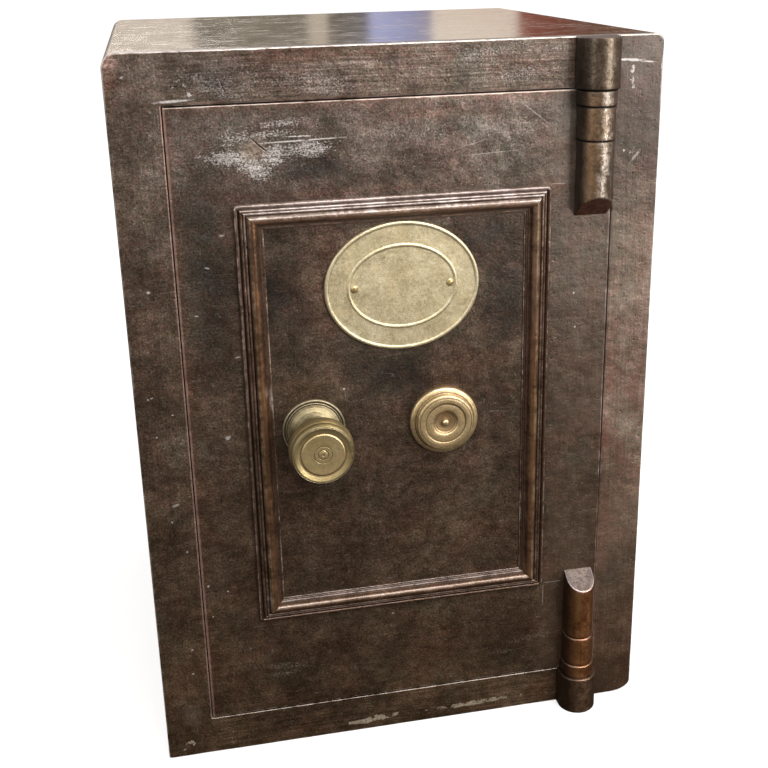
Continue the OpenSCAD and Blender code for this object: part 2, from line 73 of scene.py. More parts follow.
def noise(p, size, seed=0):
    """Smooth value noise in -1..1 at the points p (n, 3)."""
    q = np.asarray(p, float) / size
    c = np.floor(q).astype(np.int64)
    f = q - c
    f = f * f * (3 - 2 * f)
    out = 0.0
    for a in (0, 1):
        for b in (0, 1):
            for d in (0, 1):
                w = (f[:, 0] if a else 1 - f[:, 0]) * (f[:, 1] if b else 1 - f[:, 1]) * (f[:, 2] if d else 1 - f[:, 2])
                out = out + w * hash3(c[:, 0] + a, c[:, 1] + b, c[:, 2] + d, seed)
    return out


def fbm(p, size, seed=0, octaves=3):
    total, amp, s = 0.0, 1.0, 0.0
    for o in range(octaves):
        total = total + amp * noise(p, size / 2**o, seed + 17 * o)
        s += amp
        amp *= 0.5
    return total / s


def arc(cx, cy, r, a0, a1, n):
    a = np.radians(np.linspace(a0, a1, n + 1))
    return [(cx + r * math.cos(t), cy + r * math.sin(t)) for t in a]


def fillet(points, n=4):
    """A polyline with its corners rounded: a point is (a, b) or (a, b, radius)."""
    out = []
    for i, p in enumerate(points):
        r = p[2] if len(p) > 2 else 0
        if not r or i in (0, len(points) - 1):
            out.append(p[:2])
            continue
        b = np.array(p[:2], float)
        a, c = np.array(points[i - 1][:2], float), np.array(points[i + 1][:2], float)
        la, lc = np.linalg.norm(a - b), np.linalg.norm(c - b)
        va, vc = (a - b) / la, (c - b) / lc
        half = math.acos(max(-1, min(1, float(va @ vc)))) / 2
        t = min(r / max(math.tan(half), 1e-3), 0.45 * la, 0.45 * lc)
        for s in np.linspace(0, 1, n + 1):
            out.append(tuple((1 - s) ** 2 * (b + va * t) + 2 * s * (1 - s) * b + s * s * (b + vc * t)))
    return out


def bend_of(profile, gain=0.5):
    """Relief of a closed profile: above 0 where it is proud and sharp, below 0 in a groove."""
    p = np.array(profile, float)
    nxt, prv = np.roll(p, -1, 0), np.roll(p, 1, 0)
    area = np.sum(p[:, 0] * nxt[:, 1] - nxt[:, 0] * p[:, 1])
    a, b = p - prv, nxt - p
    turn = np.arctan2(a[:, 0] * b[:, 1] - a[:, 1] * b[:, 0], (a * b).sum(1))
    length = 0.5 * (np.linalg.norm(a, axis=1) + np.linalg.norm(b, axis=1))
    return np.clip(math.copysign(gain, area) * turn / np.maximum(length, 0.05), -1, 1)


def dense(profile, step=0.55):
    """The same closed profile with its long spans divided."""
    out = []
    for i, a in enumerate(profile):
        out.append(a)
        if i + 1 < len(profile):
            b = profile[i + 1]
            k = int(math.hypot(b[0] - a[0], b[1] - a[1]) / step)
            if a[0] > 1e-6 or b[0] > 1e-6:
                out += [(a[0] + (b[0] - a[0]) * j / (k + 1), a[1] + (b[1] - a[1]) * j / (k + 1)) for j in range(1, k + 1)]
    return out


def settle(rel, run, reach=0.42):
    """Grooves spread their dirt a little way up their flanks."""
    near = np.exp(-((run[:, None] - run[None, :]) / reach) ** 2)
    low = (near * np.maximum(-rel, 0)[None, :]).max(1)
    return np.where(rel > 0.35, rel, np.minimum(rel, -low))


# ------------------------------------------------------------------ meshes


def add(name, co, faces, body, replaced, mat, relief=None, turn=None, sharp=40.0):
    me = bpy.data.meshes.new(name)
    me.from_pydata((np.asarray(co, float) * 0.001).tolist(), [], faces)
    for key, values in (("relief", relief), ("turn", turn)):
        if values is not None:
            at = me.attributes.new(key, "FLOAT", "POINT")
            at.data.foreach_set("value", np.asarray(values, np.float32))
    ob = bpy.data.objects.new(name, me)
    scene.collection.objects.link(ob)
    clean(me, sharp)
    dress(ob, body, replaced, mat)
    return ob


def clean(me, sharp):
    bm = bmesh.new()
    bm.from_mesh(me)
    bmesh.ops.remove_doubles(bm, verts=bm.verts, dist=2e-6)
    bmesh.ops.recalc_face_normals(bm, faces=bm.faces)
    bm.to_mesh(me)
    bm.free()
    me.polygons.foreach_set("use_smooth", [True] * len(me.polygons))
    me.set_sharp_from_angle(angle=math.radians(sharp))
    me.update()


def dress(ob, body, replaced, mat):
    ob.data.materials.clear()
    ob.data.materials.append(mat)
    if replaced:
        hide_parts(*replaced)
    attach(ob, body)


def loft(loops, wrap=False, cap0=False, cap1=False):
    """Loops of m points each, joined in turn; returns points and faces."""
    n, m = len(loops), len(loops[0])
    faces = []
    for a in range(n if wrap else n - 1):
        b = (a + 1) % n
        for i in range(m):
            j = (i + 1) % m
            faces.append((a * m + i, a * m + j, b * m + j, b * m + i))
    if cap0:
        faces.append(tuple(range(m - 1, -1, -1)))
    if cap1:
        faces.append(tuple((n - 1) * m + i for i in range(m)))
    return np.concatenate(loops), faces


def rr(x0, x1, z0, z1, radii, nc=8, nx=96, nz=132):
    """Rounded rectangle with a fixed count of points: top left, top, top right, right, and so on."""
    tl, tr, br, bl = [r if isinstance(r, tuple) else (r, r) for r in radii]

    def turn(cx, cz, r, a0, a1):
        return [(cx + r[0] * u, cz + r[1] * w) for u, w in arc(0, 0, 1, a0, a1, nc)]

    out = turn(x0 + tl[0], z1 - tl[1], tl, 180, 90)
    out += [(x, z1) for x in np.linspace(x0 + tl[0], x1 - tr[0], nx + 1)[1:-1]]
    out += turn(x1 - tr[0], z1 - tr[1], tr, 90, 0)
    out += [(x1, z) for z in np.linspace(z1 - tr[1], z0 + br[1], nz + 1)[1:-1]]
    out += turn(x1 - br[0], z0 + br[1], br, 0, -90)
    out += [(x, z0) for x in np.linspace(x1 - br[0], x0 + bl[0], nx + 1)[1:-1]]
    out += turn(x0 + bl[0], z0 + bl[1], bl, -90, -180)
    out += [(x0, z) for z in np.linspace(z0 + bl[1], z1 - tl[1], nz + 1)[1:-1]]
    return np.array(out)


def at_depth(xz, depth):
    """Points from an x-z outline at a depth behind the front face."""
    return np.column_stack([xz[:, 0], np.full(len(xz), 0.0) + YF + depth, xz[:, 1]])


def lathe(name, profile, cx, cz, body, replaced, mat, seg=128, sharp=45.0, y0=YF, cuts=(), gain=0.5, out=1):
    """A turned piece round an axis along the depth; the profile is (radius, distance in front)."""
    profile = dense(profile)
    p = np.array(profile, float)
    run = np.concatenate([[0], np.cumsum(np.linalg.norm(np.diff(p, axis=0), axis=1))])
    rel = settle(bend_of(profile, gain), run)
    a = np.linspace(0, 2 * math.pi, seg, endpoint=False)
    loops = [np.column_stack([cx + r * np.cos(a), np.full(seg, y0 - out * h), cz + r * np.sin(a)]) for r, h in p]
    ends = p[0, 0] < 1e-6 and p[-1, 0] < 1e-6
    co, faces = loft(loops, wrap=not ends)
    ob = add(name, co, faces, body, replaced, mat, np.repeat(rel, seg), np.repeat(run, seg), sharp)
    for c in cuts:
        cut(ob, c, sharp)
    return ob


def prism(outline, y0, y1):
    """A cutter: an x-z outline made thick along the depth, as a mesh object."""
    o = np.array(outline, float)
    m = len(o)
    co = np.concatenate([np.column_stack([o[:, 0], np.full(m, y), o[:, 1]]) for y in (y0, y1)]) * 0.001
    faces = [(i, (i + 1) % m, m + (i + 1) % m, m + i) for i in range(m)]
    faces += [tuple(range(m - 1, -1, -1)), tuple(range(m, 2 * m))]
    me = bpy.data.meshes.new("cutter")
    me.from_pydata(co.tolist(), [], faces)
    bm = bmesh.new()
    bm.from_mesh(me)
    bmesh.ops.recalc_face_normals(bm, faces=bm.faces)
    bm.to_mesh(me)
    bm.free()
    ob = bpy.data.objects.new("cutter", me)
    scene.collection.objects.link(ob)
    return ob


def cut(ob, cutter, sharp=40.0):
    mod = ob.modifiers.new("cut", "BOOLEAN")
    mod.operation = "DIFFERENCE"
    mod.solver = "EXACT"
    mod.object = cutter
    bpy.context.view_layer.update()
    made = bpy.data.meshes.new_from_object(ob.evaluated_get(bpy.context.evaluated_depsgraph_get()))
    ob.modifiers.clear()
    was, name = ob.data, ob.data.name
    ob.data = made
    bpy.data.meshes.remove(was)
    made.name = name
    bpy.data.objects.remove(cutter)
    clean(made, sharp)


def circle(cx, cz, r, n=48):
    return arc(cx, cz, r, 0, 360, n)[:-1]


def keyhole(c=0.0):
    a = math.degrees(math.asin((2.6 + c) / (5 + c)))
    return arc(35, 306, 5 + c, -90 + a, 270 - a, 40) + [(35 - 2.6 - c, 293 - c), (35 + 2.6 + c, 293 - c)]


# ------------------------------------------------------------------ node materials


class Tree:
    """Builds one node material; P is the point in the part's frame, in metres."""

    def __init__(self, name):
        self.mat = bpy.data.materials.new(name)
        self.mat.use_nodes = True
        self.nt = self.mat.node_tree
        self.nt.nodes.clear()
        self.out = self.nt.nodes.new("ShaderNodeOutputMaterial")
        self.bsdf = self.nt.nodes.new("ShaderNodeBsdfPrincipled")
        self.nt.links.new(self.bsdf.outputs[0], self.out.inputs["Surface"])
        self.P = self.nt.nodes.new("ShaderNodeTexCoord").outputs["Object"]
        s = self.nt.nodes.new("ShaderNodeSeparateXYZ")
        self.nt.links.new(self.P, s.inputs[0])
        self.x, self.y, self.z = s.outputs
        self.cache = {}

    def put(self, socket, value):
        if isinstance(value, bpy.types.NodeSocket):
            self.nt.links.new(value, socket)
        elif value is not None:
            if hasattr(socket.default_value, "__len__") and not hasattr(value, "__len__"):
                value = (value,) * len(socket.default_value)
            if hasattr(value, "__len__") and len(value) == 3 and len(socket.default_value) == 4:
                value = (*value, 1.0)
            socket.default_value = value

    def m(self, op, a, b=None, c=None, clamp=False):
        n = self.nt.nodes.new("ShaderNodeMath")
        n.operation = op
        n.use_clamp = clamp
        for i, v in enumerate((a, b, c)):
            if v is not None:
                self.put(n.inputs[i], v)
        return n.outputs[0]

    def add(self, *terms):
        out = terms[0]
        for t in terms[1:]:
            out = self.m("ADD", out, t)
        return out

    def mul(self, a, b):
        return self.m("MULTIPLY", a, b)

    def step(self, v, lo, hi, a=0.0, b=1.0, kind="SMOOTHSTEP"):
        n = self.nt.nodes.new("ShaderNodeMapRange")
        n.interpolation_type = kind
        n.clamp = True
        for i, w in enumerate((v, lo, hi, a, b)):
            self.put(n.inputs[i], w)
        return n.outputs[0]

    def at(self, stretch=(1, 1, 1), shift=(0, 0, 0), turn=(0, 0, 0)):
        key = (tuple(stretch), tuple(shift), tuple(turn))
        if key not in self.cache:
            n = self.nt.nodes.new("ShaderNodeMapping")
            n.inputs["Location"].default_value = shift
            n.inputs["Rotation"].default_value = turn
            n.inputs["Scale"].default_value = stretch
            self.nt.links.new(self.P, n.inputs["Vector"])
            self.cache[key] = n.outputs[0]
        return self.cache[key]

    def noise(self, scale, detail=2.0, rough=0.5, at=None, dist=0.0, w=None):
        n = self.nt.nodes.new("ShaderNodeTexNoise")
        if w is not None:
            n.noise_dimensions = "1D"
            self.put(n.inputs["W"], w)
        else:
            self.nt.links.new(at or self.P, n.inputs["Vector"])
        n.inputs["Scale"].default_value = scale
        n.inputs["Detail"].default_value = detail
        n.inputs["Roughness"].default_value = rough
        n.inputs["Distortion"].default_value = dist
        return n.outputs[0]

    def cells(self, scale, at=None, kind="F1"):
        n = self.nt.nodes.new("ShaderNodeTexVoronoi")
        n.feature = kind
        self.nt.links.new(at or self.P, n.inputs["Vector"])
        n.inputs["Scale"].default_value = scale
        return n.outputs["Distance"], n.outputs["Color"]

    def part(self, colour, index=0):
        n = self.nt.nodes.new("ShaderNodeSeparateColor")
        self.nt.links.new(colour, n.inputs[0])
        return n.outputs[index]

    def mix(self, f, a, b, kind="MIX"):
        n = self.nt.nodes.new("ShaderNodeMix")
        n.data_type = "RGBA"
        n.blend_type = kind
        self.put(n.inputs[0], f)
        self.put(n.inputs[6], a)
        self.put(n.inputs[7], b)
        return n.outputs[2]

    def ramp(self, f, stops, kind="LINEAR"):
        n = self.nt.nodes.new("ShaderNodeValToRGB")
        n.color_ramp.interpolation = kind
        e = n.color_ramp.elements
        while len(e) < len(stops):
            e.new(0.5)
        for k, (pos, col) in zip(e, stops):
            k.position = pos
            k.color = (*col, 1.0) if hasattr(col, "__len__") else (col, col, col, 1.0)
        self.put(n.inputs[0], f)
        return n.outputs[0]

    def attr(self, name):
        n = self.nt.nodes.new("ShaderNodeAttribute")
        n.attribute_name = name
        return n.outputs["Fac"]

    def bump(self, height, distance, strength=1.0, normal=None):
        n = self.nt.nodes.new("ShaderNodeBump")
        n.inputs["Strength"].default_value = strength
        n.inputs["Distance"].default_value = distance
        self.put(n.inputs["Height"], height)
        if normal is not None:
            self.nt.links.new(normal, n.inputs["Normal"])
        return n.outputs[0]

    def swing(self, v, gain):
        """A noise value centred on 0 and scaled."""
        return self.m("MULTIPLY_ADD", v, 2.0 * gain, -gain)

    def blob(self, cx, cz, rx, rz, turn=0.0, soft=0.5, wob=None, amount=0.6):
        """Soft ellipse on the front, in millimetres, its rim broken by the value wob."""
        c, s = math.cos(math.radians(turn)), math.sin(math.radians(turn))
        k = 1000.0
        u = self.m("MULTIPLY_ADD", self.x, c * k / rx, self.m("MULTIPLY_ADD", self.z, s * k / rx, -(c * cx + s * cz) / rx))
        v = self.m("MULTIPLY_ADD", self.x, -s * k / rz, self.m("MULTIPLY_ADD", self.z, c * k / rz, -(c * cz - s * cx) / rz))
        d = self.m("SQRT", self.m("ADD", self.m("MULTIPLY", u, u), self.m("MULTIPLY", v, v)))
        if wob is not None:
            d = self.m("ADD", d, self.swing(wob, amount))
        return self.step(d, 1.0 + soft, max(1.0 - soft, 0.0), 0.0, 1.0)

    def top_of(self, *masks):
        out = masks[0]
        for k in masks[1:]:
            out = self.m("MAXIMUM", out, k)
        return out

    def done(self, colour, rough, metal, normal=None, **fixed):
        self.put(self.bsdf.inputs["Base Color"], colour)
        self.put(self.bsdf.inputs["Roughness"], rough)
        self.put(self.bsdf.inputs["Metallic"], metal)
        if normal is not None:
            self.put(self.bsdf.inputs["Normal"], normal)
        for k, v in fixed.items():
            self.put(self.bsdf.inputs[k.replace("_", " ")], v)
        return self.mat


IRON = [
    (0.0, (0.011, 0.008, 0.006)), (0.22, (0.034, 0.024, 0.017)), (0.42, (0.072, 0.053, 0.040)),
    (0.60, (0.135, 0.107, 0.089)), (0.80, (0.26, 0.220, 0.194)), (1.0, (0.52, 0.470, 0.430)),
]


def iron_front(name, where):
    """Stripped and waxed iron of the front: finely speckled, brushed along the rails and stiles, flecked and worn;
    lighter towards the top and the right as painted light, with painted light inside the gaps and painted highlights on
    the frame's edges.
    """
    t = Tree(name)
    wide = t.noise(15, 3, 0.5)
    mott = t.noise(40, 3, 0.5, t.at((1, 1, 1), (3.1, 0, 1.7)))
    spot = t.noise(150, 2, 0.5, t.at((0.8, 1, 1), (1, 0, 1)))
    grit = t.noise(470, 2, 0.7)
    fine = t.noise(900, 1, 0.5)
    along = t.noise(1, 4, 0.65, t.at((22, 60, 560), (1, 2, 3)))
    upright = t.noise(1, 4, 0.65, t.at((560, 60, 18), (5, 2, 1)))
    marks = t.noise(120, 3, 0.7, t.at((1, 1, 1), (0.4, 0.2, 0.9)))
    stroke = t.noise(1, 5, 0.75, t.at((60, 60, 1250), (2, 1, 7)))
    grain = t.noise(400, 3, 0.7, t.at((0.5, 1, 1), (2, 1, 7)))
    dust = t.noise(740, 2, 0.8, t.at((0.8, 1, 1), (4, 1, 3)))
    cast = t.noise(430, 3, 0.7, t.at((1, 1, 1), (8, 3, 5)))
    cast2 = t.noise(380, 3, 0.7, t.at((1, 1, 1), (2, 9, 6)))
    flake = t.noise(190, 4, 0.7, t.at((0.75, 1, 1), (6, 1, 2)))
    relief = t.attr("relief")
    rubbed = t.add(t.swing(stroke, 1.0), t.swing(dust, 1.5), t.swing(grain, 0.6))

    def scratched(mask, lo=1.10, hi=1.55, gain=1.3):
        """Crisp broken strokes, closer together where the mask is stronger."""
        return t.step(t.add(rubbed, t.mul(mask, gain)), lo, hi)

    def flaked(mask, lo=0.98, hi=1.28):
        return t.step(t.add(t.swing(flake, 1.7), t.mul(mask, 1.3)), lo, hi)

    # base tone rising from bottom to top: painted light from above
    v = t.add(
        t.step(t.z, 0.0, 0.60, 0.336, 0.470, "LINEAR"), t.swing(wide, 0.23), t.swing(mott, 0.15),
        t.swing(spot, 0.15), t.swing(grit, 0.18), t.swing(dust, 0.34), t.swing(fine, 0.22),
    )
    if where == "frame":
        across = t.mul(t.step(t.x, -0.186, -0.168), t.step(t.x, 0.178, 0.172))
        rail = t.mul(t.top_of(t.step(t.z, 0.567, 0.573), t.step(t.z, 0.039, 0.033)), across)
        side = t.m("SUBTRACT", 1.0, rail)
        right = t.step(t.x, 0.172, 0.182)
        # the right stile takes a calmer tone rising towards the top (painted light) and a lighter middle band, partly
        # lighter metal and partly a painted reflection of the light on the right
        calm = t.add(t.step(t.z, 0.0, 0.60, 0.342, 0.365, "LINEAR"), t.swing(wide, 0.20), t.swing(mott, 0.15), t.swing(dust, 0.16))
        v = t.add(t.mul(v, t.m("MULTIPLY_ADD", right, -0.6, 1.0)), t.mul(calm, t.mul(right, 0.6)))
        v = t.add(v, t.mul(rail, t.swing(along, 0.36)), t.mul(side, t.swing(upright, 0.15)))
        band = t.mul(right, t.mul(t.step(t.z, 0.00, 0.22, 0.25, 1.0), t.step(t.z, 0.54, 0.42)))
        v = t.add(v, t.mul(right, -0.065), t.mul(band, 0.330))
        v = t.add(v, t.mul(t.step(t.x, -0.172, -0.182), t.step(t.z, 0.42, 0.54, 0.0, 0.045)))
        v = t.add(v, t.mul(rail, t.mix(t.step(t.z, 0.29, 0.31), t.step(t.x, 0.00, 0.14, 0.0, 0.130), t.step(t.x, 0.00, 0.14, 0.0, -0.055))))
        light_rail = t.mul(t.mul(rail, t.step(t.z, 0.5725, 0.5760)), t.mul(t.step(t.x, -0.17, -0.10), t.step(t.noise(9, 3, 0.6, t.at((1, 1, 2.6), (2, 8, 4))), 0.40, 0.60)))
        v = t.add(v, t.mul(light_rail, t.m("MULTIPLY_ADD", along, 0.34, -0.09)))
    else:
        # the door is lighter towards the right (painted light from the right, partly lighter metal) and along its top
        # (painted light); its right stile takes a calmer tone rising towards the top, also painted light
        v = t.add(v, t.swing(along, 0.08), t.step(t.x, 0.125, 0.165, 0.0, 0.045))
        v = t.add(v, t.step(t.x, -0.10, 0.20, -0.03, 0.03, "LINEAR"))
        inside = t.mul(
            t.mul(t.step(t.x, -0.112, -0.104), t.step(t.x, 0.109, 0.101)),
            t.mul(t.step(t.z, 0.146, 0.152), t.step(t.z, 0.476, 0.470)),
        )
        v = t.add(v, t.mul(inside, -0.035), t.mul(t.step(t.z, 0.49, 0.53), 0.03))
        still = t.step(t.x, 0.116, 0.134)
        v = t.add(
            t.mul(v, t.m("MULTIPLY_ADD", still, -0.58, 1.0)),
            t.mul(t.step(t.z, 0.0, 0.60, 0.400, 0.520, "LINEAR"), t.mul(still, 0.58)), t.mul(still, t.swing(upright, 0.10)),
            t.mul(t.blob(78, 425, 34, 56, 0, 0.9, mott, 0.8), 0.045),
        )
        scuff = t.noise(1, 4, 0.62, t.at((24, 60, 62), (3, 1, 6)))
        v = t.add(v, t.mul(t.mul(t.step(t.z, 0.482, 0.510), t.step(t.x, -0.085, -0.035)), t.swing(scuff, 0.34)))
    if where == "door":
        dark = t.top_of(
            t.blob(66, 455, 24, 16, 20, 0.6, mott, 0.9), t.blob(88, 405, 15, 40, 0, 0.6, mott, 0.9), t.blob(4, 345, 12, 14, 0, 0.6, mott, 0.8),
            t.blob(-93, 416, 17, 32, 10, 0.7, mott, 1.0), t.blob(-20, 345, 30, 16, -20, 0.8, mott, 1.0),
            t.blob(-62, 517, 24, 9, 0, 0.8, mott, 0.8), t.blob(-152, 440, 14, 70, 0, 0.9, mott, 0.8),
            t.blob(14, 330, 12, 24, 0, 0.8, mott, 0.9),
        )
        v = t.add(v, t.mul(dark, t.m("MULTIPLY_ADD", spot, -0.46, 0.10)))
        grey = t.top_of(
            t.blob(92, 544, 50, 16, 10, 0.8, mott, 0.8), t.blob(18, 540, 50, 13, 0, 0.8, mott, 0.9),
            t.mul(t.blob(150, 400, 14, 60, 0, 0.9, mott, 0.6), 0.6), t.mul(t.blob(125, 60, 30, 12, 15, 0.9, mott, 0.8), 0.4),
            t.mul(t.blob(-140, 541, 30, 22, 0, 0.9, mott, 0.8), 0.7),
        )
        v = t.add(v, t.mul(grey, 0.060))
        patch = t.top_of(
            t.blob(-127, 529.5, 26, 7.5, -6, 0.8, marks, 0.4), t.blob(-112, 522, 17, 10, -24, 0.8, marks, 0.4),
            t.blob(-96, 531, 13, 10, 30, 0.8, marks, 0.4), t.mul(t.blob(-70, 534.5, 23, 8, 0, 0.8, marks, 0.5), 0.95),
            t.mul(t.blob(-124, 544.5, 18, 9, 10, 0.9, marks, 0.5), 0.80), t.mul(t.blob(-88, 554.5, 26, 3.6, 4, 0.8, marks, 0.5), 0.85),
            t.mul(t.blob(-100, 546.5, 24, 3.4, 3, 0.8, marks, 0.5), 0.85), t.mul(t.blob(-100, 535, 68, 26, 0, 0.9, marks, 0.5), 0.52),
            t.mul(t.blob(-146, 531, 11, 1.6, -8, 0.6), 0.8),
        )
        spared = t.blob(-112, 534.5, 9, 7.5, 20, 0.5, marks, 0.5)
        scraped = t.top_of(
            t.mul(scratched(patch, 0.80, 1.75), t.m("MULTIPLY_ADD", spared, -0.50, 0.95)),
            t.mul(scratched(grey, 0.85, 2.10, 0.85), 0.42),
            t.mul(t.blob(-74, 540.6, 31, 0.55, 1.2, 0.4, grit, 0.7), t.step(grain, 0.38, 0.5)),
            t.mul(t.blob(-76, 543.9, 11, 0.5, -1.0, 0.4, grit, 0.7), t.step(grain, 0.40, 0.52)),
            t.mul(t.blob(112, 552, 14, 0.4, -38, 0.4, grit, 0.5), 0.25),
            t.mul(t.blob(75, 523, 24, 0.35, 3, 0.4, grit, 0.5), 0.25), t.mul(t.blob(60, 531, 16, 0.35, 14, 0.4, grit, 0.5), 0.25),
        )
        nick = t.blob(-106.5, 538.4, 7.6, 0.7, -43, 0.3)
        smear = t.top_of(
            t.mul(scratched(t.top_of(t.blob(-108, 79, 28, 5, -5, 0.8, marks, 0.5), t.blob(-110, 72, 18, 4, 4, 0.8, marks, 0.5)), 1.0, 1.9), 0.9),
            t.mul(scratched(t.top_of(t.blob(118, 74, 36, 4, 8, 0.8, marks, 0.5), t.blob(95, 62, 18, 2.4, 2, 0.8, marks, 0.5)), 1.1, 1.9), 0.7),
        )
        dots = t.top_of(
            t.blob(-48.6, 335.6, 0.9, 0.8, 0, 0.4), t.blob(-145.5, 302.5, 2.2, 1.5, 20, 0.5, grit, 0.8),
            t.blob(-171, 168, 1.0, 0.9, 0, 0.4), t.blob(-155, 161, 0.7, 0.7, 0, 0.4), t.blob(-169, 138, 0.7, 0.7, 0, 0.4),
            t.mul(t.blob(-139, 471, 2.0, 0.7, 0, 0.5), 0.7), t.mul(t.blob(-152, 446, 1.8, 0.7, -15, 0.5), 0.7), t.mul(t.blob(-133, 371, 2.2, 0.6, 5, 0.5), 0.7),
            t.mul(t.blob(-163, 408, 1.6, 0.6, -5, 0.5), 0.7), t.blob(148, 402, 0.8, 0.8, 0, 0.4), t.blob(150, 372, 0.8, 0.8, 0, 0.4),
            t.mul(t.blob(-12, 118, 1.1, 0.7, 20, 0.5), 0.7), t.mul(t.blob(105, 207, 1.0, 0.8, 0, 0.5), 0.7),
        )
        lines = t.top_of(
            t.blob(133, 495.2, 7.5, 0.35, 0, 0.3), t.blob(136, 129, 8.5, 0.35, 0, 0.3), t.blob(127.6, 117, 0.35, 11, 0, 0.3),
        )
        red = t.top_of(
            t.blob(34, 558, 36, 7, 0, 0.8, mott, 0.9), t.mul(t.step(t.z, 0.560, 0.5685), 0.8), t.step(t.x, -0.1675, -0.1755),
            t.blob(128, 493, 10, 5, 0, 0.9, mott, 0.8), t.mul(t.blob(-30, 500, 110, 3, 0, 0.8, mott, 0.8), 0.7),
            t.mul(t.blob(40, 340, 40, 18, 30, 0.8, mott, 0.9), 0.6), t.mul(t.blob(-60, 430, 20, 50, 0, 0.9, mott, 1.0), 0.6),
        )
    else:
        nick = t.blob(-131, 583, 0.5, 5, 20, 0.4)
        patch = t.top_of(
            t.mul(t.blob(-204, 593, 8, 4, 10, 0.9, marks, 0.9), 0.5), t.mul(t.blob(-163, 587, 7, 6, -30, 0.9, marks, 0.8), 0.75),
            t.mul(t.blob(-155, 579, 4, 3, -30, 0.9, marks, 0.8), 0.85), t.mul(t.blob(-190, 527, 5, 4, 30, 0.9, marks, 0.9), 0.5),
            t.mul(t.blob(-186, 492, 4, 4, 60, 0.9, marks, 0.9), 0.45), t.mul(t.blob(190, 520, 7, 6, 20, 0.9, marks, 0.9), 0.55),
            t.mul(t.blob(-186, 550, 2.2, 2.0, 0, 0.6, marks, 0.9), 0.8),
        )
        smudge = t.mul(t.step(t.z, 0.571, 0.574), t.step(t.noise(12, 3, 0.6, t.at((1, 1, 3), (2, 8, 4))), 0.40, 0.62))
        scraped = t.top_of(
            t.mul(flaked(patch), 0.75), t.mul(scratched(t.mul(smudge, across), 0.75, 1.9, 1.0), 0.50),
            t.mul(flaked(t.top_of(
                t.blob(191.5, 578, 2.6, 13, 4, 0.8, marks, 0.6), t.mul(t.blob(194, 552, 2.2, 11, -8, 0.8, marks, 0.6), 0.8),
                t.mul(t.blob(197, 566, 5, 9, 0, 0.9, marks, 0.6), 0.55), t.mul(t.blob(193, 515, 10, 8, 20, 0.9, marks, 0.6), 0.6)), 1.10, 1.45), 0.60),
            t.mul(t.blob(-168, 574.0, 12, 0.9, 2, 0.6, grain, 1.2), 0.9),
            t.mul(t.blob(190, 590.3, 9, 0.9, -4, 0.5, grain, 1.4), 0.95), t.mul(t.blob(203, 588.6, 6, 0.6, -4, 0.5, grain, 1.4), 0.6),
            t.mul(t.blob(197, 514, 5, 1.0, 50, 0.7, grain, 1.4), 0.4),
        )
        smear = t.top_of(
            t.mul(t.blob(190, 150, 14, 50, 0, 0.9, mott, 1.0), 0.18), t.mul(t.blob(-194, 42, 6, 8, 0, 0.9, marks, 1.0), 0.35),
        )
        dots = t.top_of(
            t.blob(-202, 309, 0.8, 0.7, 0, 0.5), t.blob(-206, 342, 0.8, 0.7, 0, 0.5), t.blob(-203, 343, 1.1, 0.5, 20, 0.5),
            t.blob(-188, 327, 0.7, 0.7, 0, 0.5), t.blob(-189, 108, 1.0, 0.8, 0, 0.5), t.blob(-198, 430, 1.3, 1.0, 0, 0.5),
            t.blob(-196, 232, 0.7, 0.7, 0, 0.5), t.blob(-186, 203, 0.8, 0.8, 0, 0.5), t.blob(-190, 84, 0.9, 0.8, 0, 0.5),
            t.mul(t.blob(-192, 247, 3, 1.0, 15, 0.5, grit, 0.8), 0.7),
        )
        lines = t.mul(t.blob(-40, 596.5, 46, 0.35, 0.6, 0.4, grain, 1.0), 0.4)
        lip = t.mul(t.step(t.z, 0.5735, 0.5712), t.step(t.z, 0.5695, 0.5700))
        red = t.top_of(
            t.mul(t.blob(-60, 604, 60, 4, 0, 0.8, mott, 0.9), 0.8), t.mul(t.blob(-213, 590, 5, 18, 0, 0.8, mott, 0.9), 0.8),
            t.mul(t.blob(183, 339, 4, 26, 0, 0.8, mott, 1.0), 0.8), t.mul(t.blob(178.6, 275, 2.5, 40, 0, 0.8, mott, 1.0), 0.8),
            t.mul(t.mul(lip, across), 0.7),
            t.mul(t.step(t.m("ABSOLUTE", t.m("SUBTRACT", t.x, 0.1400)), 0.0022, 0.0010), t.step(t.z, 0.5695, 0.5700)),
            t.mul(t.blob(100, 590, 30, 8, 0, 0.8, mott, 0.9), 0.6), t.mul(t.blob(207, 420, 4, 50, 0, 0.9, mott, 1.0), 0.25),
            t.mul(t.blob(184, 200, 3, 60, 0, 0.9, mott, 1.0), 0.6),
        )
    colour = t.ramp(v, IRON)
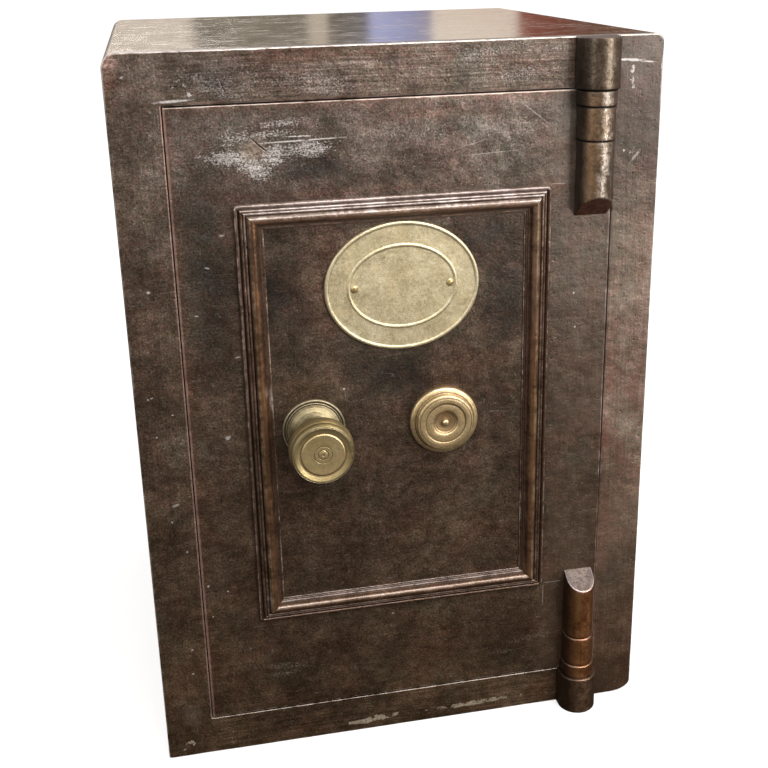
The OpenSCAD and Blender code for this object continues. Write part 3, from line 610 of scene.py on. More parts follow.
    # colour darker and warmer towards the bottom, with red and olive casts
    colour = t.mix(t.step(t.z, 0.60, 0.02, 0.0, 1.0, "LINEAR"), t.mix(1.0, colour, (0.975, 0.955, 0.935), "MULTIPLY"),
                   t.mix(1.0, colour, (1.01, 0.85, 0.64), "MULTIPLY"))
    hue = t.noise(27, 3, 0.55, t.at((1, 1, 1), (7.3, 1.1, 2.9)))
    colour = t.mix(t.step(hue, 0.48, 0.62, 0, 0.6), colour, (1.09, 0.93, 0.93), "MULTIPLY")
    hue2 = t.noise(24, 3, 0.55, t.at((1, 1, 1), (1.3, 5.1, 8.9)))
    colour = t.mix(t.step(hue2, 0.50, 0.64, 0, 0.9), colour, (0.88, 0.97, 0.97), "MULTIPLY")
    colour = t.mix(t.mul(red, t.step(marks, 0.30, 0.62, 0.25, 0.80)), colour, (1.24, 0.91, 0.84), "MULTIPLY")
    colour = t.mix(t.step(cast, 0.48, 0.62, 0, 0.9), colour, (1.14, 0.92, 1.00), "MULTIPLY")
    colour = t.mix(t.step(cast2, 0.48, 0.62, 0, 0.9), colour, (0.90, 1.00, 0.84), "MULTIPLY")
    if where == "door":
        colour = t.mix(t.top_of(t.step(t.z, 0.46, 0.50), still), colour, (0.965, 0.99, 1.045), "MULTIPLY")
        colour = t.mix(t.mul(dark, t.step(spot, 0.36, 0.56, 0.2, 0.9)), colour, (0.72, 0.86, 1.00), "MULTIPLY")
    if where == "frame":
        colour = t.mix(t.mul(right, t.step(t.z, 0.40, 0.54)), colour, (0.95, 0.99, 1.06), "MULTIPLY")
        colour = t.mix(t.mul(right, t.step(t.z, 0.46, 0.36)), colour, (1.02, 0.98, 1.03), "MULTIPLY")
        blotch = t.top_of(
            t.blob(196, 240, 5, 15, 0, 0.9, marks, 1.0), t.blob(190, 182, 9, 12, 20, 0.9, marks, 1.0), t.blob(186, 150, 4, 12, 0, 0.9, marks, 1.0),
            t.mul(t.blob(190, 372, 6, 5, 0, 0.9, marks, 1.0), 0.7), t.mul(t.blob(206, 300, 4, 16, 0, 0.9, marks, 1.0), 0.6),
        )
        colour = t.mix(t.mul(blotch, t.step(spot, 0.34, 0.58, 0.30, 0.80)), colour, (0.120, 0.062, 0.046))
        blue = t.mul(t.blob(-134, 590, 17, 12, 0, 0.9, mott, 0.9), 0.8)
        colour = t.mix(blue, colour, (0.62, 0.70, 0.80), "MULTIPLY")
        scrape = t.mul(t.blob(-211, 603, 5, 4, 20, 0.8, marks, 1.0), t.step(grain, 0.42, 0.62, 0.1, 0.8))
        colour = t.mix(scrape, colour, (0.50, 0.33, 0.28))
        flakes = t.top_of(
            flaked(t.top_of(
                t.blob(-34, 9.5, 26, 3.4, 3, 0.5, marks, 0.8), t.blob(66, 11, 38, 2.8, 2, 0.5, marks, 0.8),
                t.mul(t.blob(24, 10, 16, 2.0, 4, 0.6, marks, 0.8), 0.7), t.mul(t.blob(-198, 12, 5, 4, 0, 0.6, marks, 1.0), 0.95),
                t.mul(t.blob(120, 13, 18, 1.6, 2, 0.6, marks, 0.8), 0.6), t.mul(t.blob(-204, 7, 7, 2, 0, 0.6, marks, 1.0), 0.7),
                t.mul(t.blob(-90, 6, 40, 1.5, 2, 0.7, marks, 0.9), 0.5),
            )),
        )
        colour = t.mix(t.mul(flakes, t.step(grit, 0.32, 0.58, 0.35, 0.85)), colour, (0.42, 0.36, 0.275))
    else:
        flakes = t.mul(spared, t.step(grain, 0.40, 0.60, 0.15, 0.6))
        colour = t.mix(flakes, colour, (0.40, 0.31, 0.23))
    rust = t.mul(t.step(t.noise(75, 4, 0.65, t.at((1, 1, 1), (9.3, 2.1, 4.4))), 0.62, 0.72), t.step(grit, 0.4, 0.6, 0.2, 0.6))
    colour = t.mix(rust, colour, (0.070, 0.030, 0.014))
    # pits: small dark points, and flecks: small bright points
    pd, pc = t.cells(230)
    pit = t.mul(t.step(pd, 0.26, 0.12), t.step(t.part(pc), 0.76, 0.80))
    colour = t.mix(t.mul(pit, 0.50), colour, (0.012, 0.008, 0.006))
    fd, fc = t.cells(46, t.at((1, 1, 1), (0.3, 0.1, 0.2)))
    fleck = t.mul(t.step(fd, 0.042, 0.022), t.step(t.part(fc, 1), 0.84, 0.86))
    hair = t.noise(1, 2, 0.5, t.at((9, 20, 150), (1, 2, 3), (0, 0.5, 0)))
    hair2 = t.noise(1, 2, 0.5, t.at((160, 20, 8), (4, 2, 3), (0, 0.35, 0)))
    line = t.top_of(
        t.step(t.m("ABSOLUTE", t.m("SUBTRACT", hair, 0.5)), 0.0065, 0.0020),
        t.step(t.m("ABSOLUTE", t.m("SUBTRACT", hair2, 0.5)), 0.0055, 0.0016),
    )
    line = t.mul(line, t.step(marks, 0.52, 0.66))
    light = t.top_of(t.mul(scraped, 0.85), t.mul(fleck, 0.45), t.mul(dots, 0.62), t.mul(line, 0.14), t.mul(lines, 0.30))
    shallow = t.step(t.y, -0.2106, -0.2126)
    light = t.mul(light, shallow)
    colour = t.mix(t.mul(t.mul(smear, shallow), 0.36), colour, (0.42, 0.36, 0.28))
    colour = t.mix(light, colour, (0.56, 0.53, 0.515))
    colour = t.mix(t.mul(t.mul(nick, shallow), 0.85), colour, (0.015, 0.010, 0.008))
    rub = t.add(relief, t.swing(spot, 0.75), t.swing(mott, 0.8))
    wear = t.mul(t.step(relief, 0.05, 0.5), t.step(rub, 0.45, 1.05))
    if where == "frame":
        # edge wear, and painted highlights on worn edges: the crest along the top front edge and the line along the
        # lower right corner
        crest = t.mul(t.step(t.z, 0.6045, 0.6065), t.mul(t.step(t.x, -0.17, -0.10, 0.30, 1.0), t.step(t.x, 0.12, 0.16, 1.0, 0.6)))
        wear = t.top_of(
            t.mul(wear, t.step(t.z, 0.50, 0.595, 0.32, 0.60)),
            t.mul(crest, t.mul(t.step(relief, 0.30, 0.9), t.step(t.add(t.swing(grain, 0.9), t.swing(marks, 0.8)), -0.45, 0.15))),
            t.mul(t.mul(t.step(relief, 0.25, 0.8), t.step(marks, 0.30, 0.60, 0.3, 1.0)), t.mul(t.mul(t.step(t.x, 0.184, 0.200), t.step(t.z, 0.060, 0.030)), 0.50)),
        )
        edge_tone = (0.62, 0.56, 0.52)
    else:
        wear = t.mul(wear, 0.45)
        edge_tone = (0.60, 0.50, 0.45)
    colour = t.mix(t.mul(wear, 0.85), colour, edge_tone)
    # the left gap's lips are rubbed to a pinkish line
    pink = t.mul(t.step(t.m("ABSOLUTE", t.m("ADD", t.x, 0.1762)), 0.0024, 0.0014), t.mul(t.step(t.z, 0.034, 0.037), t.step(t.z, 0.572, 0.570)))
    pink = t.mul(pink, shallow)
    colour = t.mix(t.mul(pink, t.step(marks, 0.30, 0.60, 0.30, 0.75)), colour, (0.27, 0.175, 0.145))
    # the walls inside the left gap and low in the right gap are painted a light pinkish brown: painted light reaching
    # into the shaded gaps
    gap_wall_light = t.mul(t.mul(t.step(t.y, -0.2147, -0.2141), shallow), t.step(t.z, 0.572, 0.571))
    right_gap_light = t.mul(t.step(t.m("ABSOLUTE", t.m("SUBTRACT", t.x, 0.1780)), 0.0024, 0.0014), t.step(t.z, 0.30, 0.12, 0.25, 1.0))
    colour = t.mix(t.mul(t.top_of(pink, right_gap_light), t.mul(gap_wall_light, 0.95)), colour, (0.62, 0.40, 0.31))
    rough = t.add(0.43, t.swing(mott, 0.10), t.swing(spot, 0.12), t.swing(grit, 0.12), t.mul(wear, -0.10), t.mul(light, 0.10))
    h = t.add(t.mul(spot, 1.3), t.mul(grit, 0.6), t.mul(dust, 0.6), t.mul(fine, 0.35), t.mul(pit, -0.8), t.mul(light, 0.30), t.mul(nick, -1.0), t.mul(flakes, 0.35))
    h = t.add(h, t.mul(along if where == "door" else t.mix(rail, upright, along), 0.22 if where == "door" else 0.6))
    n = t.bump(mott, 0.0040, 0.45)
    n = t.bump(h, 0.00034, 0.60, n)
    return t.done(colour, rough, 0.68, n, Coat_Weight=0.25, Coat_Roughness=0.24)


def iron_body(name):
    """The bent outer plate: its top is rubbed bright and brushed from side to side, the sides are darker, their tone
    rising towards the top as painted light.
    """
    t = Tree(name)
    wide = t.noise(13, 3, 0.55)
    mott = t.noise(44, 4, 0.6, t.at((1, 1, 1), (2.1, 0.4, 1.7)))
    spot = t.noise(170, 3, 0.6)
    grit = t.noise(560, 2, 0.6)
    relief = t.attr("relief")
    top = t.step(t.z, 0.6080, 0.6094)
    brush = t.noise(1, 4, 0.65, t.at((11, 700, 200), (1, 2, 3)))
    brush2 = t.noise(1, 3, 0.6, t.at((30, 180, 60), (3, 5, 3)))
    side = t.noise(1, 4, 0.6, t.at((200, 22, 560), (1, 6, 3)))
    # base tone rising from bottom to top: painted light from above
    v = t.add(
        t.step(t.z, 0.0, 0.61, 0.33, 0.46, "LINEAR"), t.swing(wide, 0.22), t.swing(mott, 0.34),
        t.swing(spot, 0.22), t.swing(grit, 0.20), t.swing(side, 0.24),
    )
    colour = t.ramp(v, IRON)
    hue = t.noise(21, 3, 0.6, t.at((1, 1, 1), (7.3, 1.1, 2.9)))
    colour = t.mix(t.step(hue, 0.48, 0.66, 0, 0.8), colour, (1.25, 0.90, 0.78), "MULTIPLY")
    rust = t.mul(t.step(t.noise(38, 5, 0.7, t.at((1, 1, 1), (9.3, 2.1, 4.4))), 0.56, 0.68), t.step(grit, 0.35, 0.6, 0.2, 0.7))
    colour = t.mix(rust, colour, (0.085, 0.036, 0.016))
    tv = t.add(0.60, t.swing(brush, 0.42), t.swing(brush2, 0.34), t.swing(mott, 0.20), t.swing(grit, 0.16))
    tcol = t.ramp(tv, [(0.0, (0.20, 0.135, 0.090)), (0.5, (0.42, 0.355, 0.290)), (1.0, (0.66, 0.61, 0.54))])
    tcol = t.mix(t.step(t.x, 0.03, 0.20, 0.0, 0.60), tcol, (0.285, 0.140, 0.092))
    colour = t.mix(top, colour, tcol)
    pd, pc = t.cells(190)
    pit = t.mul(t.step(pd, 0.26, 0.12), t.step(t.part(pc), 0.66, 0.70))
    colour = t.mix(t.mul(t.mul(pit, t.m("SUBTRACT", 1.0, top)), 0.6), colour, (0.012, 0.008, 0.006))
    fd, fc = t.cells(40, t.at((1, 1, 1), (0.3, 0.1, 0.2)))
    fleck = t.mul(t.step(fd, 0.045, 0.022), t.step(t.part(fc, 1), 0.80, 0.83))
    hair = t.noise(1, 2, 0.5, t.at((30, 7, 120), (1, 2, 3), (0.25, 0.2, 0)))
    line = t.mul(t.step(t.m("ABSOLUTE", t.m("SUBTRACT", hair, 0.5)), 0.006, 0.002), t.step(mott, 0.50, 0.62))
    light = t.top_of(t.mul(fleck, 0.45), t.mul(line, 0.22))
    colour = t.mix(light, colour, (0.46, 0.41, 0.38))
    rub = t.add(relief, t.swing(spot, 0.7), t.swing(mott, 0.7))
    wear = t.mul(t.step(relief, 0.05, 0.5), t.step(rub, 0.40, 1.0))
    colour = t.mix(t.mul(wear, 0.6), colour, (0.50, 0.44, 0.40))
    rough = t.add(0.46, t.swing(mott, 0.12), t.swing(spot, 0.10), t.mul(top, -0.27), t.mul(t.mul(top, t.swing(brush, 1.0)), 0.05))
    h = t.add(t.mul(spot, 0.9), t.mul(grit, 0.5), t.mul(pit, -0.9), t.mul(side, 0.5))
    h = t.mul(h, t.m("SUBTRACT", 1.0, top))
    h = t.add(h, t.mul(t.mul(top, brush), 0.32))
    dull = t.mul(top, t.step(t.add(t.swing(brush2, 1.0), t.swing(brush, 0.7)), 0.05, 0.45))
    rough = t.add(rough, t.mul(dull, 0.07))
    return t.done(colour, rough, t.m("MULTIPLY_ADD", top, 0.27, 0.70), t.bump(h, 0.00020, 0.5))


def iron_moulding(name):
    """Rolled moulding: glossy brown wax with dirt in the grooves; painted highlights on the crests and painted shade in
    the grooves, laid in bands across the width, and painted glints.
    """
    t = Tree(name)
    mott = t.noise(60, 3, 0.6)
    spot = t.noise(230, 3, 0.6)
    grit = t.noise(520, 2, 0.6)
    relief = t.attr("relief")
    kind = t.attr("kind")
    top = t.step(kind, 0.85, 0.95)
    level = t.step(kind, 0.45, 0.55)
    runs_x = t.noise(1, 4, 0.65, t.at((26, 60, 900), (1, 2, 3)))
    runs_z = t.noise(1, 4, 0.65, t.at((900, 60, 26), (1, 2, 3)))
    runs = t.mix(level, runs_z, runs_x)
    # tone rising towards the top, lighter on the top length and on the right upright: painted light from above and from
    # the right
    v = t.add(t.step(t.z, 0.12, 0.50, 0.43, 0.49, "LINEAR"), t.swing(mott, 0.18), t.swing(spot, 0.18), t.swing(grit, 0.26), t.swing(runs, 0.26))
    v = t.add(v, t.mul(top, 0.06), t.mul(t.m("SUBTRACT", 1.0, level), t.step(t.x, 0.0, 0.10, 0.012, 0.050)))
    colour = t.ramp(v, IRON)
    colour = t.mix(1.0, colour, t.mix(top, (1.10, 0.86, 0.70), (1.06, 0.90, 0.80)), "MULTIPLY")
    streak = t.noise(1, 3, 0.6, t.at((420, 60, 9), (4, 2, 3)))
    amber = t.mul(t.step(t.add(t.swing(streak, 1.0), t.swing(mott, 0.5)), -0.10, 0.35), t.step(relief, 0.50, 0.10))
    amber = t.mul(amber, t.m("MULTIPLY_ADD", level, -0.75, 1.0))
    colour = t.mix(t.mul(amber, 0.50), colour, (0.245, 0.128, 0.058))
    purple = t.mul(t.step(t.noise(30, 3, 0.6, t.at((1, 1, 0.5), (2, 7, 5))), 0.50, 0.62), 0.6)
    colour = t.mix(purple, colour, (0.95, 0.82, 0.92), "MULTIPLY")
    dirt = t.step(relief, -0.05, -0.40)
    colour = t.mix(t.mul(dirt, t.m("MULTIPLY_ADD", top, -0.65, 0.82)), colour, (0.014, 0.008, 0.005))
    rub = t.add(relief, t.swing(spot, 0.55), t.swing(mott, 0.70), t.swing(grit, 0.35))
    wear = t.mul(t.step(relief, 0.05, 0.45), t.step(rub, 0.30, 1.0))
    wear = t.mul(wear, t.add(0.08, t.mul(level, 0.06), t.mul(top, 0.14)))
    # glints: painted highlights, merged into the wear mask and given its pale colour
    glint = t.mul(
        t.top_of(t.blob(-108.6, 333, 1.5, 9, 0, 0.5, grit, 0.6), t.mul(t.blob(-112.5, 341, 1.3, 5, 0, 0.5, grit, 0.6), 0.7),
                 t.mul(t.blob(-121, 470, 1.5, 14, 0, 0.6, grit, 0.8), 0.5), t.mul(t.blob(-120, 150, 2, 8, 0, 0.6, grit, 0.8), 0.5),
                 t.mul(t.blob(-127.6, 360, 0.7, 120, 0, 0.6, mott, 0.8), 0.35)),
        t.step(spot, 0.35, 0.60, 0.3, 1.0))
    wear = t.top_of(wear, t.mul(glint, 0.7))
    colour = t.mix(wear, colour, (0.58, 0.50, 0.46))
    # place across the width: 0 at the outer edge, 1 at the inner one
    low = t.mul(level, t.m("SUBTRACT", 1.0, top))
    left = t.mul(t.step(kind, 0.05, 0.15), t.m("SUBTRACT", 1.0, level))
    across = t.add(
        t.mul(top, t.m("MULTIPLY_ADD", t.z, -1 / 0.0202, 0.4942 / 0.0202)), t.mul(low, t.m("MULTIPLY_ADD", t.z, 1 / 0.0202, -0.1283 / 0.0202)),
        t.mul(left, t.m("MULTIPLY_ADD", t.x, 1 / 0.0222, 0.1295 / 0.0222)),
        t.mul(t.m("SUBTRACT", 1.0, t.top_of(left, level)), t.m("MULTIPLY_ADD", t.x, -1 / 0.0222, 0.1259 / 0.0222)),
    )
    across = t.add(across, t.swing(mott, 0.010), t.swing(spot, 0.012))
    upright = t.m("SUBTRACT", 1.0, level)
    patchy = t.step(t.add(t.swing(mott, 0.9), t.swing(spot, 0.6), t.swing(runs, 0.5)), -0.35, 0.35, 0.25, 1.0)
    sparse = t.step(t.add(t.swing(mott, 0.9), t.swing(spot, 0.8), t.swing(runs, 0.5)), -0.15, 0.45, 0.12, 1.0)

    def near(centre, width):
        return t.step(t.m("ABSOLUTE", t.m("SUBTRACT", across, centre)), width, width * 0.3)

    def paint(colour, centre, width, where, amount, tone, by=patchy):
        return t.mix(t.mul(t.mul(near(centre, width), where), t.mul(by, amount)), colour, tone)

    # bands across the width: the light ones are painted highlights on the beads, reeds, torus and upward-facing steps;
    # the dark ones are dirt and painted shade in the grooves and on the downward-facing outer part of the bottom
    # length; the amber, brown, grey and orange ones are colour
    grey_end = t.mul(upright, t.mul(t.step(t.x, 0.0, 0.10), t.step(t.z, 0.33, 0.45)))
    for centre, width, where, amount, tone, by in (
        (0.14, 0.06, upright, 0.75, (0.022, 0.012, 0.008), patchy), (0.415, 0.020, upright, 0.8, (0.020, 0.010, 0.006), patchy),
        (0.90, 0.075, upright, 0.50, (0.040, 0.020, 0.016), patchy), (0.62, 0.16, upright, 0.58, (0.225, 0.108, 0.046), patchy),
        (0.515, 0.080, upright, 0.62, (0.42, 0.32, 0.20), sparse), (0.349, 0.022, upright, 0.45, (0.34, 0.27, 0.22), sparse),
        (0.045, 0.026, upright, 0.80, (0.50, 0.42, 0.39), sparse), (0.985, 0.024, upright, 0.80, (0.56, 0.47, 0.43), sparse),
        (0.09, 0.120, top, 0.75, (0.41, 0.35, 0.34), patchy), (0.240, 0.060, top, 0.80, (0.48, 0.43, 0.42), patchy),
        (0.340, 0.056, top, 0.78, (0.45, 0.40, 0.39), patchy), (0.485, 0.072, top, 0.85, (0.44, 0.41, 0.39), sparse),
        (0.69, 0.10, top, 0.70, (0.150, 0.070, 0.032), patchy), (0.85, 0.05, top, 0.8, (0.022, 0.011, 0.007), patchy),
        (0.61, 0.17, grey_end, 0.60, (0.215, 0.165, 0.120), patchy), (0.945, 0.020, top, 0.55, (0.30, 0.165, 0.080), sparse), (0.990, 0.022, top, 0.75, (0.018, 0.010, 0.007), patchy),
        (0.20, 0.20, low, 0.55, (0.034, 0.017, 0.010), patchy), (0.55, 0.10, low, 0.45, (0.120, 0.052, 0.024), patchy),
        (0.700, 0.070, low, 0.72, (0.165, 0.130, 0.108), patchy), (0.865, 0.034, low, 0.65, (0.42, 0.37, 0.35), patchy),
        (0.925, 0.026, low, 0.60, (0.40, 0.35, 0.33), patchy), (0.990, 0.028, low, 0.60, (0.40, 0.35, 0.33), patchy),
    ):
        colour = paint(colour, centre, width, where, amount, tone, by)
    fd, fc = t.cells(70, t.at((1, 1, 1), (0.3, 0.1, 0.2)))
    fleck = t.mul(t.step(fd, 0.06, 0.03), t.step(t.part(fc, 1), 0.76, 0.79))
    colour = t.mix(t.mul(fleck, 0.5), colour, (0.50, 0.42, 0.34))
    rough = t.add(0.33, t.swing(mott, 0.12), t.swing(spot, 0.12), t.mul(dirt, 0.25), t.mul(top, 0.06))
    n = t.bump(mott, 0.0012, 0.35)
    n = t.bump(t.add(t.mul(spot, 1.2), t.mul(grit, 0.8), t.mul(runs, 0.5)), 0.00022, 0.6, n)
    return t.done(colour, rough, t.m("MULTIPLY_ADD", top, -0.28, 0.80), n, Coat_Weight=0.25, Coat_Roughness=0.20)


def iron_hinge(name):
    """Turned hinge iron, brown with wax: amber on the left of each barrel, dark flanks as painted shade, bright patches
    on the nose that are partly rubbed metal and partly painted highlight, and rims made bright or dark as set in
    hinge().
    """
    t = Tree(name)
    wide = t.noise(30, 3, 0.55, t.at((1, 1, 0.5), (2, 3, 1)))
    mott = t.noise(85, 3, 0.60, t.at((1, 1, 0.6), (3.1, 0, 1.7)))
    spot = t.noise(240, 3, 0.6)
    grit = t.noise(600, 2, 0.6)
    runs = t.noise(1, 3, 0.6, t.at((330, 330, 14), (4, 2, 3)))
    relief = t.attr("relief")
    low = t.step(t.z, 0.35, 0.25)
    lug_up, lug_low = t.step(t.z, 0.5698, 0.5702), t.step(t.z, 0.0363, 0.0359)
    lug = t.top_of(lug_up, lug_low)
    v = t.add(0.52, t.swing(wide, 0.18), t.swing(mott, 0.26), t.swing(spot, 0.22), t.swing(grit, 0.22), t.swing(runs, 0.16), t.mul(lug_up, -0.10), t.mul(lug_low, -0.10), t.mul(low, 0.035), t.mul(t.m("SUBTRACT", 1.0, t.top_of(low, lug_up)), 0.045))
    brown = t.ramp(v, [(0.0, (0.026, 0.013, 0.007)), (0.35, (0.085, 0.048, 0.025)), (0.6, (0.185, 0.118, 0.068)), (0.85, (0.34, 0.265, 0.19)), (1.0, (0.62, 0.54, 0.45))])
    grey = t.ramp(v, [(0.0, (0.018, 0.013, 0.008)), (0.35, (0.070, 0.053, 0.036)), (0.6, (0.140, 0.116, 0.088)), (0.85, (0.26, 0.225, 0.185)), (1.0, (0.50, 0.455, 0.41))])
    red = t.ramp(v, [(0.0, (0.030, 0.011, 0.004)), (0.35, (0.110, 0.042, 0.015)), (0.6, (0.245, 0.105, 0.040)), (0.85, (0.40, 0.235, 0.130)), (1.0, (0.60, 0.48, 0.38))])
    colour = t.mix(low, brown, red)
    colour = t.mix(t.top_of(t.mul(lug_up, 0.75), t.mul(lug_low, 0.62), t.mul(t.step(wide, 0.42, 0.58, 0.20, 0.85), t.m("SUBTRACT", 1.0, low))), colour, grey)
    barrel = t.m("SUBTRACT", 1.0, lug)
    amber = t.mul(t.mul(t.step(t.m("ABSOLUTE", t.m("SUBTRACT", t.x, 0.1530)), 0.0065, 0.002), barrel), t.step(t.z, 0.5690, 0.5540, 0.45, 1.0))
    colour = t.mix(t.mul(amber, t.step(mott, 0.36, 0.60, 0.10, 0.62)), colour, t.mix(low, (0.245, 0.142, 0.074), (0.235, 0.120, 0.048)))
    redge = t.mul(t.step(t.x, 0.1685, 0.1720), t.step(mott, 0.30, 0.60, 0.3, 0.85))
    colour = t.mix(redge, colour, (0.105, 0.055, 0.040))
    # dark flanks at the sides of the barrels and of the upper lug: painted shade
    flank = t.top_of(t.step(t.x, 0.1505, 0.1465), t.mul(t.mul(t.step(t.x, 0.1700, 0.1735), lug_up), 0.8))
    colour = t.mix(t.mul(flank, 0.68), colour, (0.020, 0.013, 0.009))
    shade = t.top_of(t.step(t.x, 0.1560, 0.1485), t.mul(t.step(t.x, 0.1660, 0.1725), 0.85))
    colour = t.mix(t.mul(t.mul(shade, low), 0.62), colour, (0.030, 0.015, 0.008))
    # bright patches on the nose, set where the lamp's highlight falls on the barrels: partly rubbed metal, partly
    # painted highlight
    nose = t.step(t.m("ABSOLUTE", t.m("SUBTRACT", t.x, 0.1628)), 0.0090, 0.002)
    bright = t.mul(t.mul(nose, t.step(mott, 0.38, 0.56)), t.step(t.add(t.swing(spot, 0.8), t.swing(grit, 0.6)), -0.10, 0.30, 0.15, 1.0))
    bright = t.mul(bright, t.mul(t.step(t.z, 0.45, 0.47), t.step(t.z, 0.5698, 0.5560, 0.35, 1.0)))
    bright = t.mul(bright, t.m("SUBTRACT", 1.0, lug))
    colour = t.mix(t.mul(bright, 0.62), colour, (0.57, 0.52, 0.48))
    cutf = t.attr("cutface")
    redcut = t.mul(cutf, t.step(t.z, 0.4, 0.41))
    whitecut = t.mul(cutf, t.step(t.z, 0.41, 0.40))
    colour = t.mix(t.mul(redcut, 0.9), colour, t.mix(t.step(spot, 0.35, 0.65), (0.125, 0.048, 0.030), (0.24, 0.105, 0.070)))
    pale = t.mix(t.step(t.add(t.swing(mott, 0.5), t.swing(spot, 0.8), t.swing(grit, 0.5)), -0.30, 0.40), (0.058, 0.044, 0.038), (0.122, 0.100, 0.090))
    colour = t.mix(t.mul(whitecut, 0.95), colour, pale)
    # rims: the relief set per rim in hinge() darkens rims turned down and the gaps between barrels (dirt and painted
    # shade) and brightens rims turned up (rubbing and painted highlight)
    dirt = t.step(relief, -0.15, -0.6)
    colour = t.mix(t.mul(dirt, 0.92), colour, (0.010, 0.006, 0.004))
    rub = t.add(relief, t.swing(spot, 0.6), t.swing(mott, 0.6))
    wear = t.mul(t.step(relief, 0.10, 0.6), t.step(rub, 0.35, 0.95))
    rim = t.mul(t.mul(t.step(t.z, 0.112, 0.120), t.step(t.z, 0.20, 0.19)), t.step(rub, 0.10, 0.60))
    wear = t.top_of(t.mul(wear, t.m("MULTIPLY_ADD", low, -0.24, 0.34)), t.mul(t.mul(rim, t.step(relief, 0.10, 0.5)), 0.42))
    colour = t.mix(wear, colour, t.mix(low, (0.48, 0.41, 0.39), (0.48, 0.45, 0.48)))
    cap = t.step(t.z, 0.6090, 0.6096)
    colour = t.mix(t.mul(cap, 0.92), colour, (0.055, 0.034, 0.026))
    rough = t.add(0.35, t.swing(mott, 0.14), t.swing(spot, 0.12), t.mul(cutf, 0.10), t.mul(dirt, 0.3), t.mul(cap, 0.25))
    n = t.bump(mott, 0.0016, 0.40)
    n = t.bump(t.add(t.mul(spot, 1.2), t.mul(grit, 0.8)), 0.00034, 0.6, n)
    return t.done(colour, rough, 0.82, n, Coat_Weight=0.22, Coat_Roughness=0.22)


def brass(name, plate=False):
    """Pale worn brass, satin; brown in the recesses, with turning lines or polishing streaks."""
    t = Tree(name)
    wide = t.noise(40, 3, 0.55)
    mott = t.noise(110, 4, 0.6, t.at((1, 1, 1), (3.1, 0, 1.7)))
    spot = t.noise(420, 3, 0.6)
    relief = t.attr("relief")
    if plate:
        ring = t.noise(1, 4, 0.65, t.at((60, 60, 900), (1, 2, 3), (0, 0.42, 0)))
        ring2 = t.noise(1, 3, 0.6, t.at((700, 60, 40), (4, 2, 3), (0, -0.2, 0)))
    else:
        ring = t.noise(3.2, 3, 0.6, w=t.attr("turn"))
        ring2 = t.noise(0.9, 3, 0.6, w=t.attr("turn"))
    if plate:
        v = t.add(0.56, t.swing(wide, 0.22), t.swing(mott, 0.22), t.swing(spot, 0.26), t.swing(t.noise(1000, 1, 0.5), 0.30))
        colour = t.ramp(v, [
            (0.0, (0.20, 0.145, 0.062)), (0.3, (0.37, 0.295, 0.155)), (0.55, (0.545, 0.465, 0.280)),
            (0.75, (0.69, 0.615, 0.410)), (1.0, (0.86, 0.81, 0.64)),
        ])
    else:
        v = t.add(0.54, t.swing(wide, 0.20), t.swing(mott, 0.20), t.swing(spot, 0.24), t.swing(ring, 0.22), t.swing(ring2, 0.14))
        colour = t.ramp(v, [
            (0.0, (0.105, 0.066, 0.020)), (0.28, (0.245, 0.178, 0.072)), (0.5, (0.40, 0.312, 0.145)),
            (0.72, (0.56, 0.465, 0.255)), (1.0, (0.78, 0.70, 0.49)),
        ])
    tarn = t.step(t.noise(64, 4, 0.65, t.at((1, 1, 1), (6.3, 0.5, 1.7))), 0.50, 0.68)
    colour = t.mix(t.mul(tarn, 0.50 if not plate else 0.22), colour, (0.34, 0.235, 0.110) if not plate else (0.55, 0.42, 0.23))
    if plate:
        colour = t.mix(1.0, colour, (0.92, 0.93, 0.97), "MULTIPLY")
    dirt = t.step(relief, -0.04, -0.42)
    colour = t.mix(t.mul(dirt, 0.86 if not plate else 0.72), colour, (0.060, 0.034, 0.014))
    if not plate:
        # darker recess round the pip of the key cover: tarnish there, with painted shade
        cup = t.blob(35, 300.5, 9.6, 9.6, 0, 0.10)
        pip = t.blob(35, 300.5, 2.9, 2.9, 0, 0.12)
        cup = t.mul(cup, t.m("SUBTRACT", 1.0, pip))
        colour = t.mix(t.mul(cup, 0.55), colour, (0.150, 0.088, 0.040))
        rosy = t.blob(35, 300.5, 30, 30, 0, 0.05)
        colour = t.mix(rosy, colour, (1.34, 1.30, 1.46), "MULTIPLY")
        knob_at = t.blob(-75, 303, 30, 30, 0, 0.05)
        back = t.step(t.y, -0.2248, -0.2243)
        colour = t.mix(t.mul(knob_at, back), colour, (0.485, 0.510, 0.61), "MULTIPLY")
        front = t.mul(knob_at, t.m("SUBTRACT", 1.0, back))
        colour = t.mix(front, colour, (1.20, 1.21, 1.26), "MULTIPLY")
        # the knob's outer ring darkened: painted shade
        rim = t.mul(front, t.m("SUBTRACT", 1.0, t.blob(-75, 303, 20.5, 20.5, 0, 0.12)))
        colour = t.mix(rim, colour, (0.60, 0.61, 0.58), "MULTIPLY")
        stain = t.step(t.add(t.swing(spot, 1.1), t.swing(mott, 0.9)), -0.02, 0.22)
        colour = t.mix(t.mul(stain, t.top_of(t.mul(rosy, 0.52), t.mul(front, 0.38))), colour, (0.170, 0.112, 0.050))
    wear = t.mul(t.step(relief, 0.10, 0.5), t.step(t.add(relief, t.swing(spot, 0.4)), 0.15, 0.6))
    colour = t.mix(t.mul(wear, 0.22 if not plate else 0.32), colour, (0.90, 0.85, 0.68))
    rough = t.add(0.38 if not plate else 0.45, t.swing(mott, 0.10), t.swing(spot, 0.10), t.mul(dirt, 0.20), t.mul(tarn, 0.08), t.mul(wear, -0.08))
    h = t.add(t.mul(ring, 0.8 if not plate else 0.3), t.mul(spot, 0.45 if not plate else 1.3))
    n = t.bump(mott, 0.0007, 0.30)
    n = t.bump(h, 0.00012, 0.55, n)
    return t.done(colour, rough, 0.86 if not plate else 0.80, n)


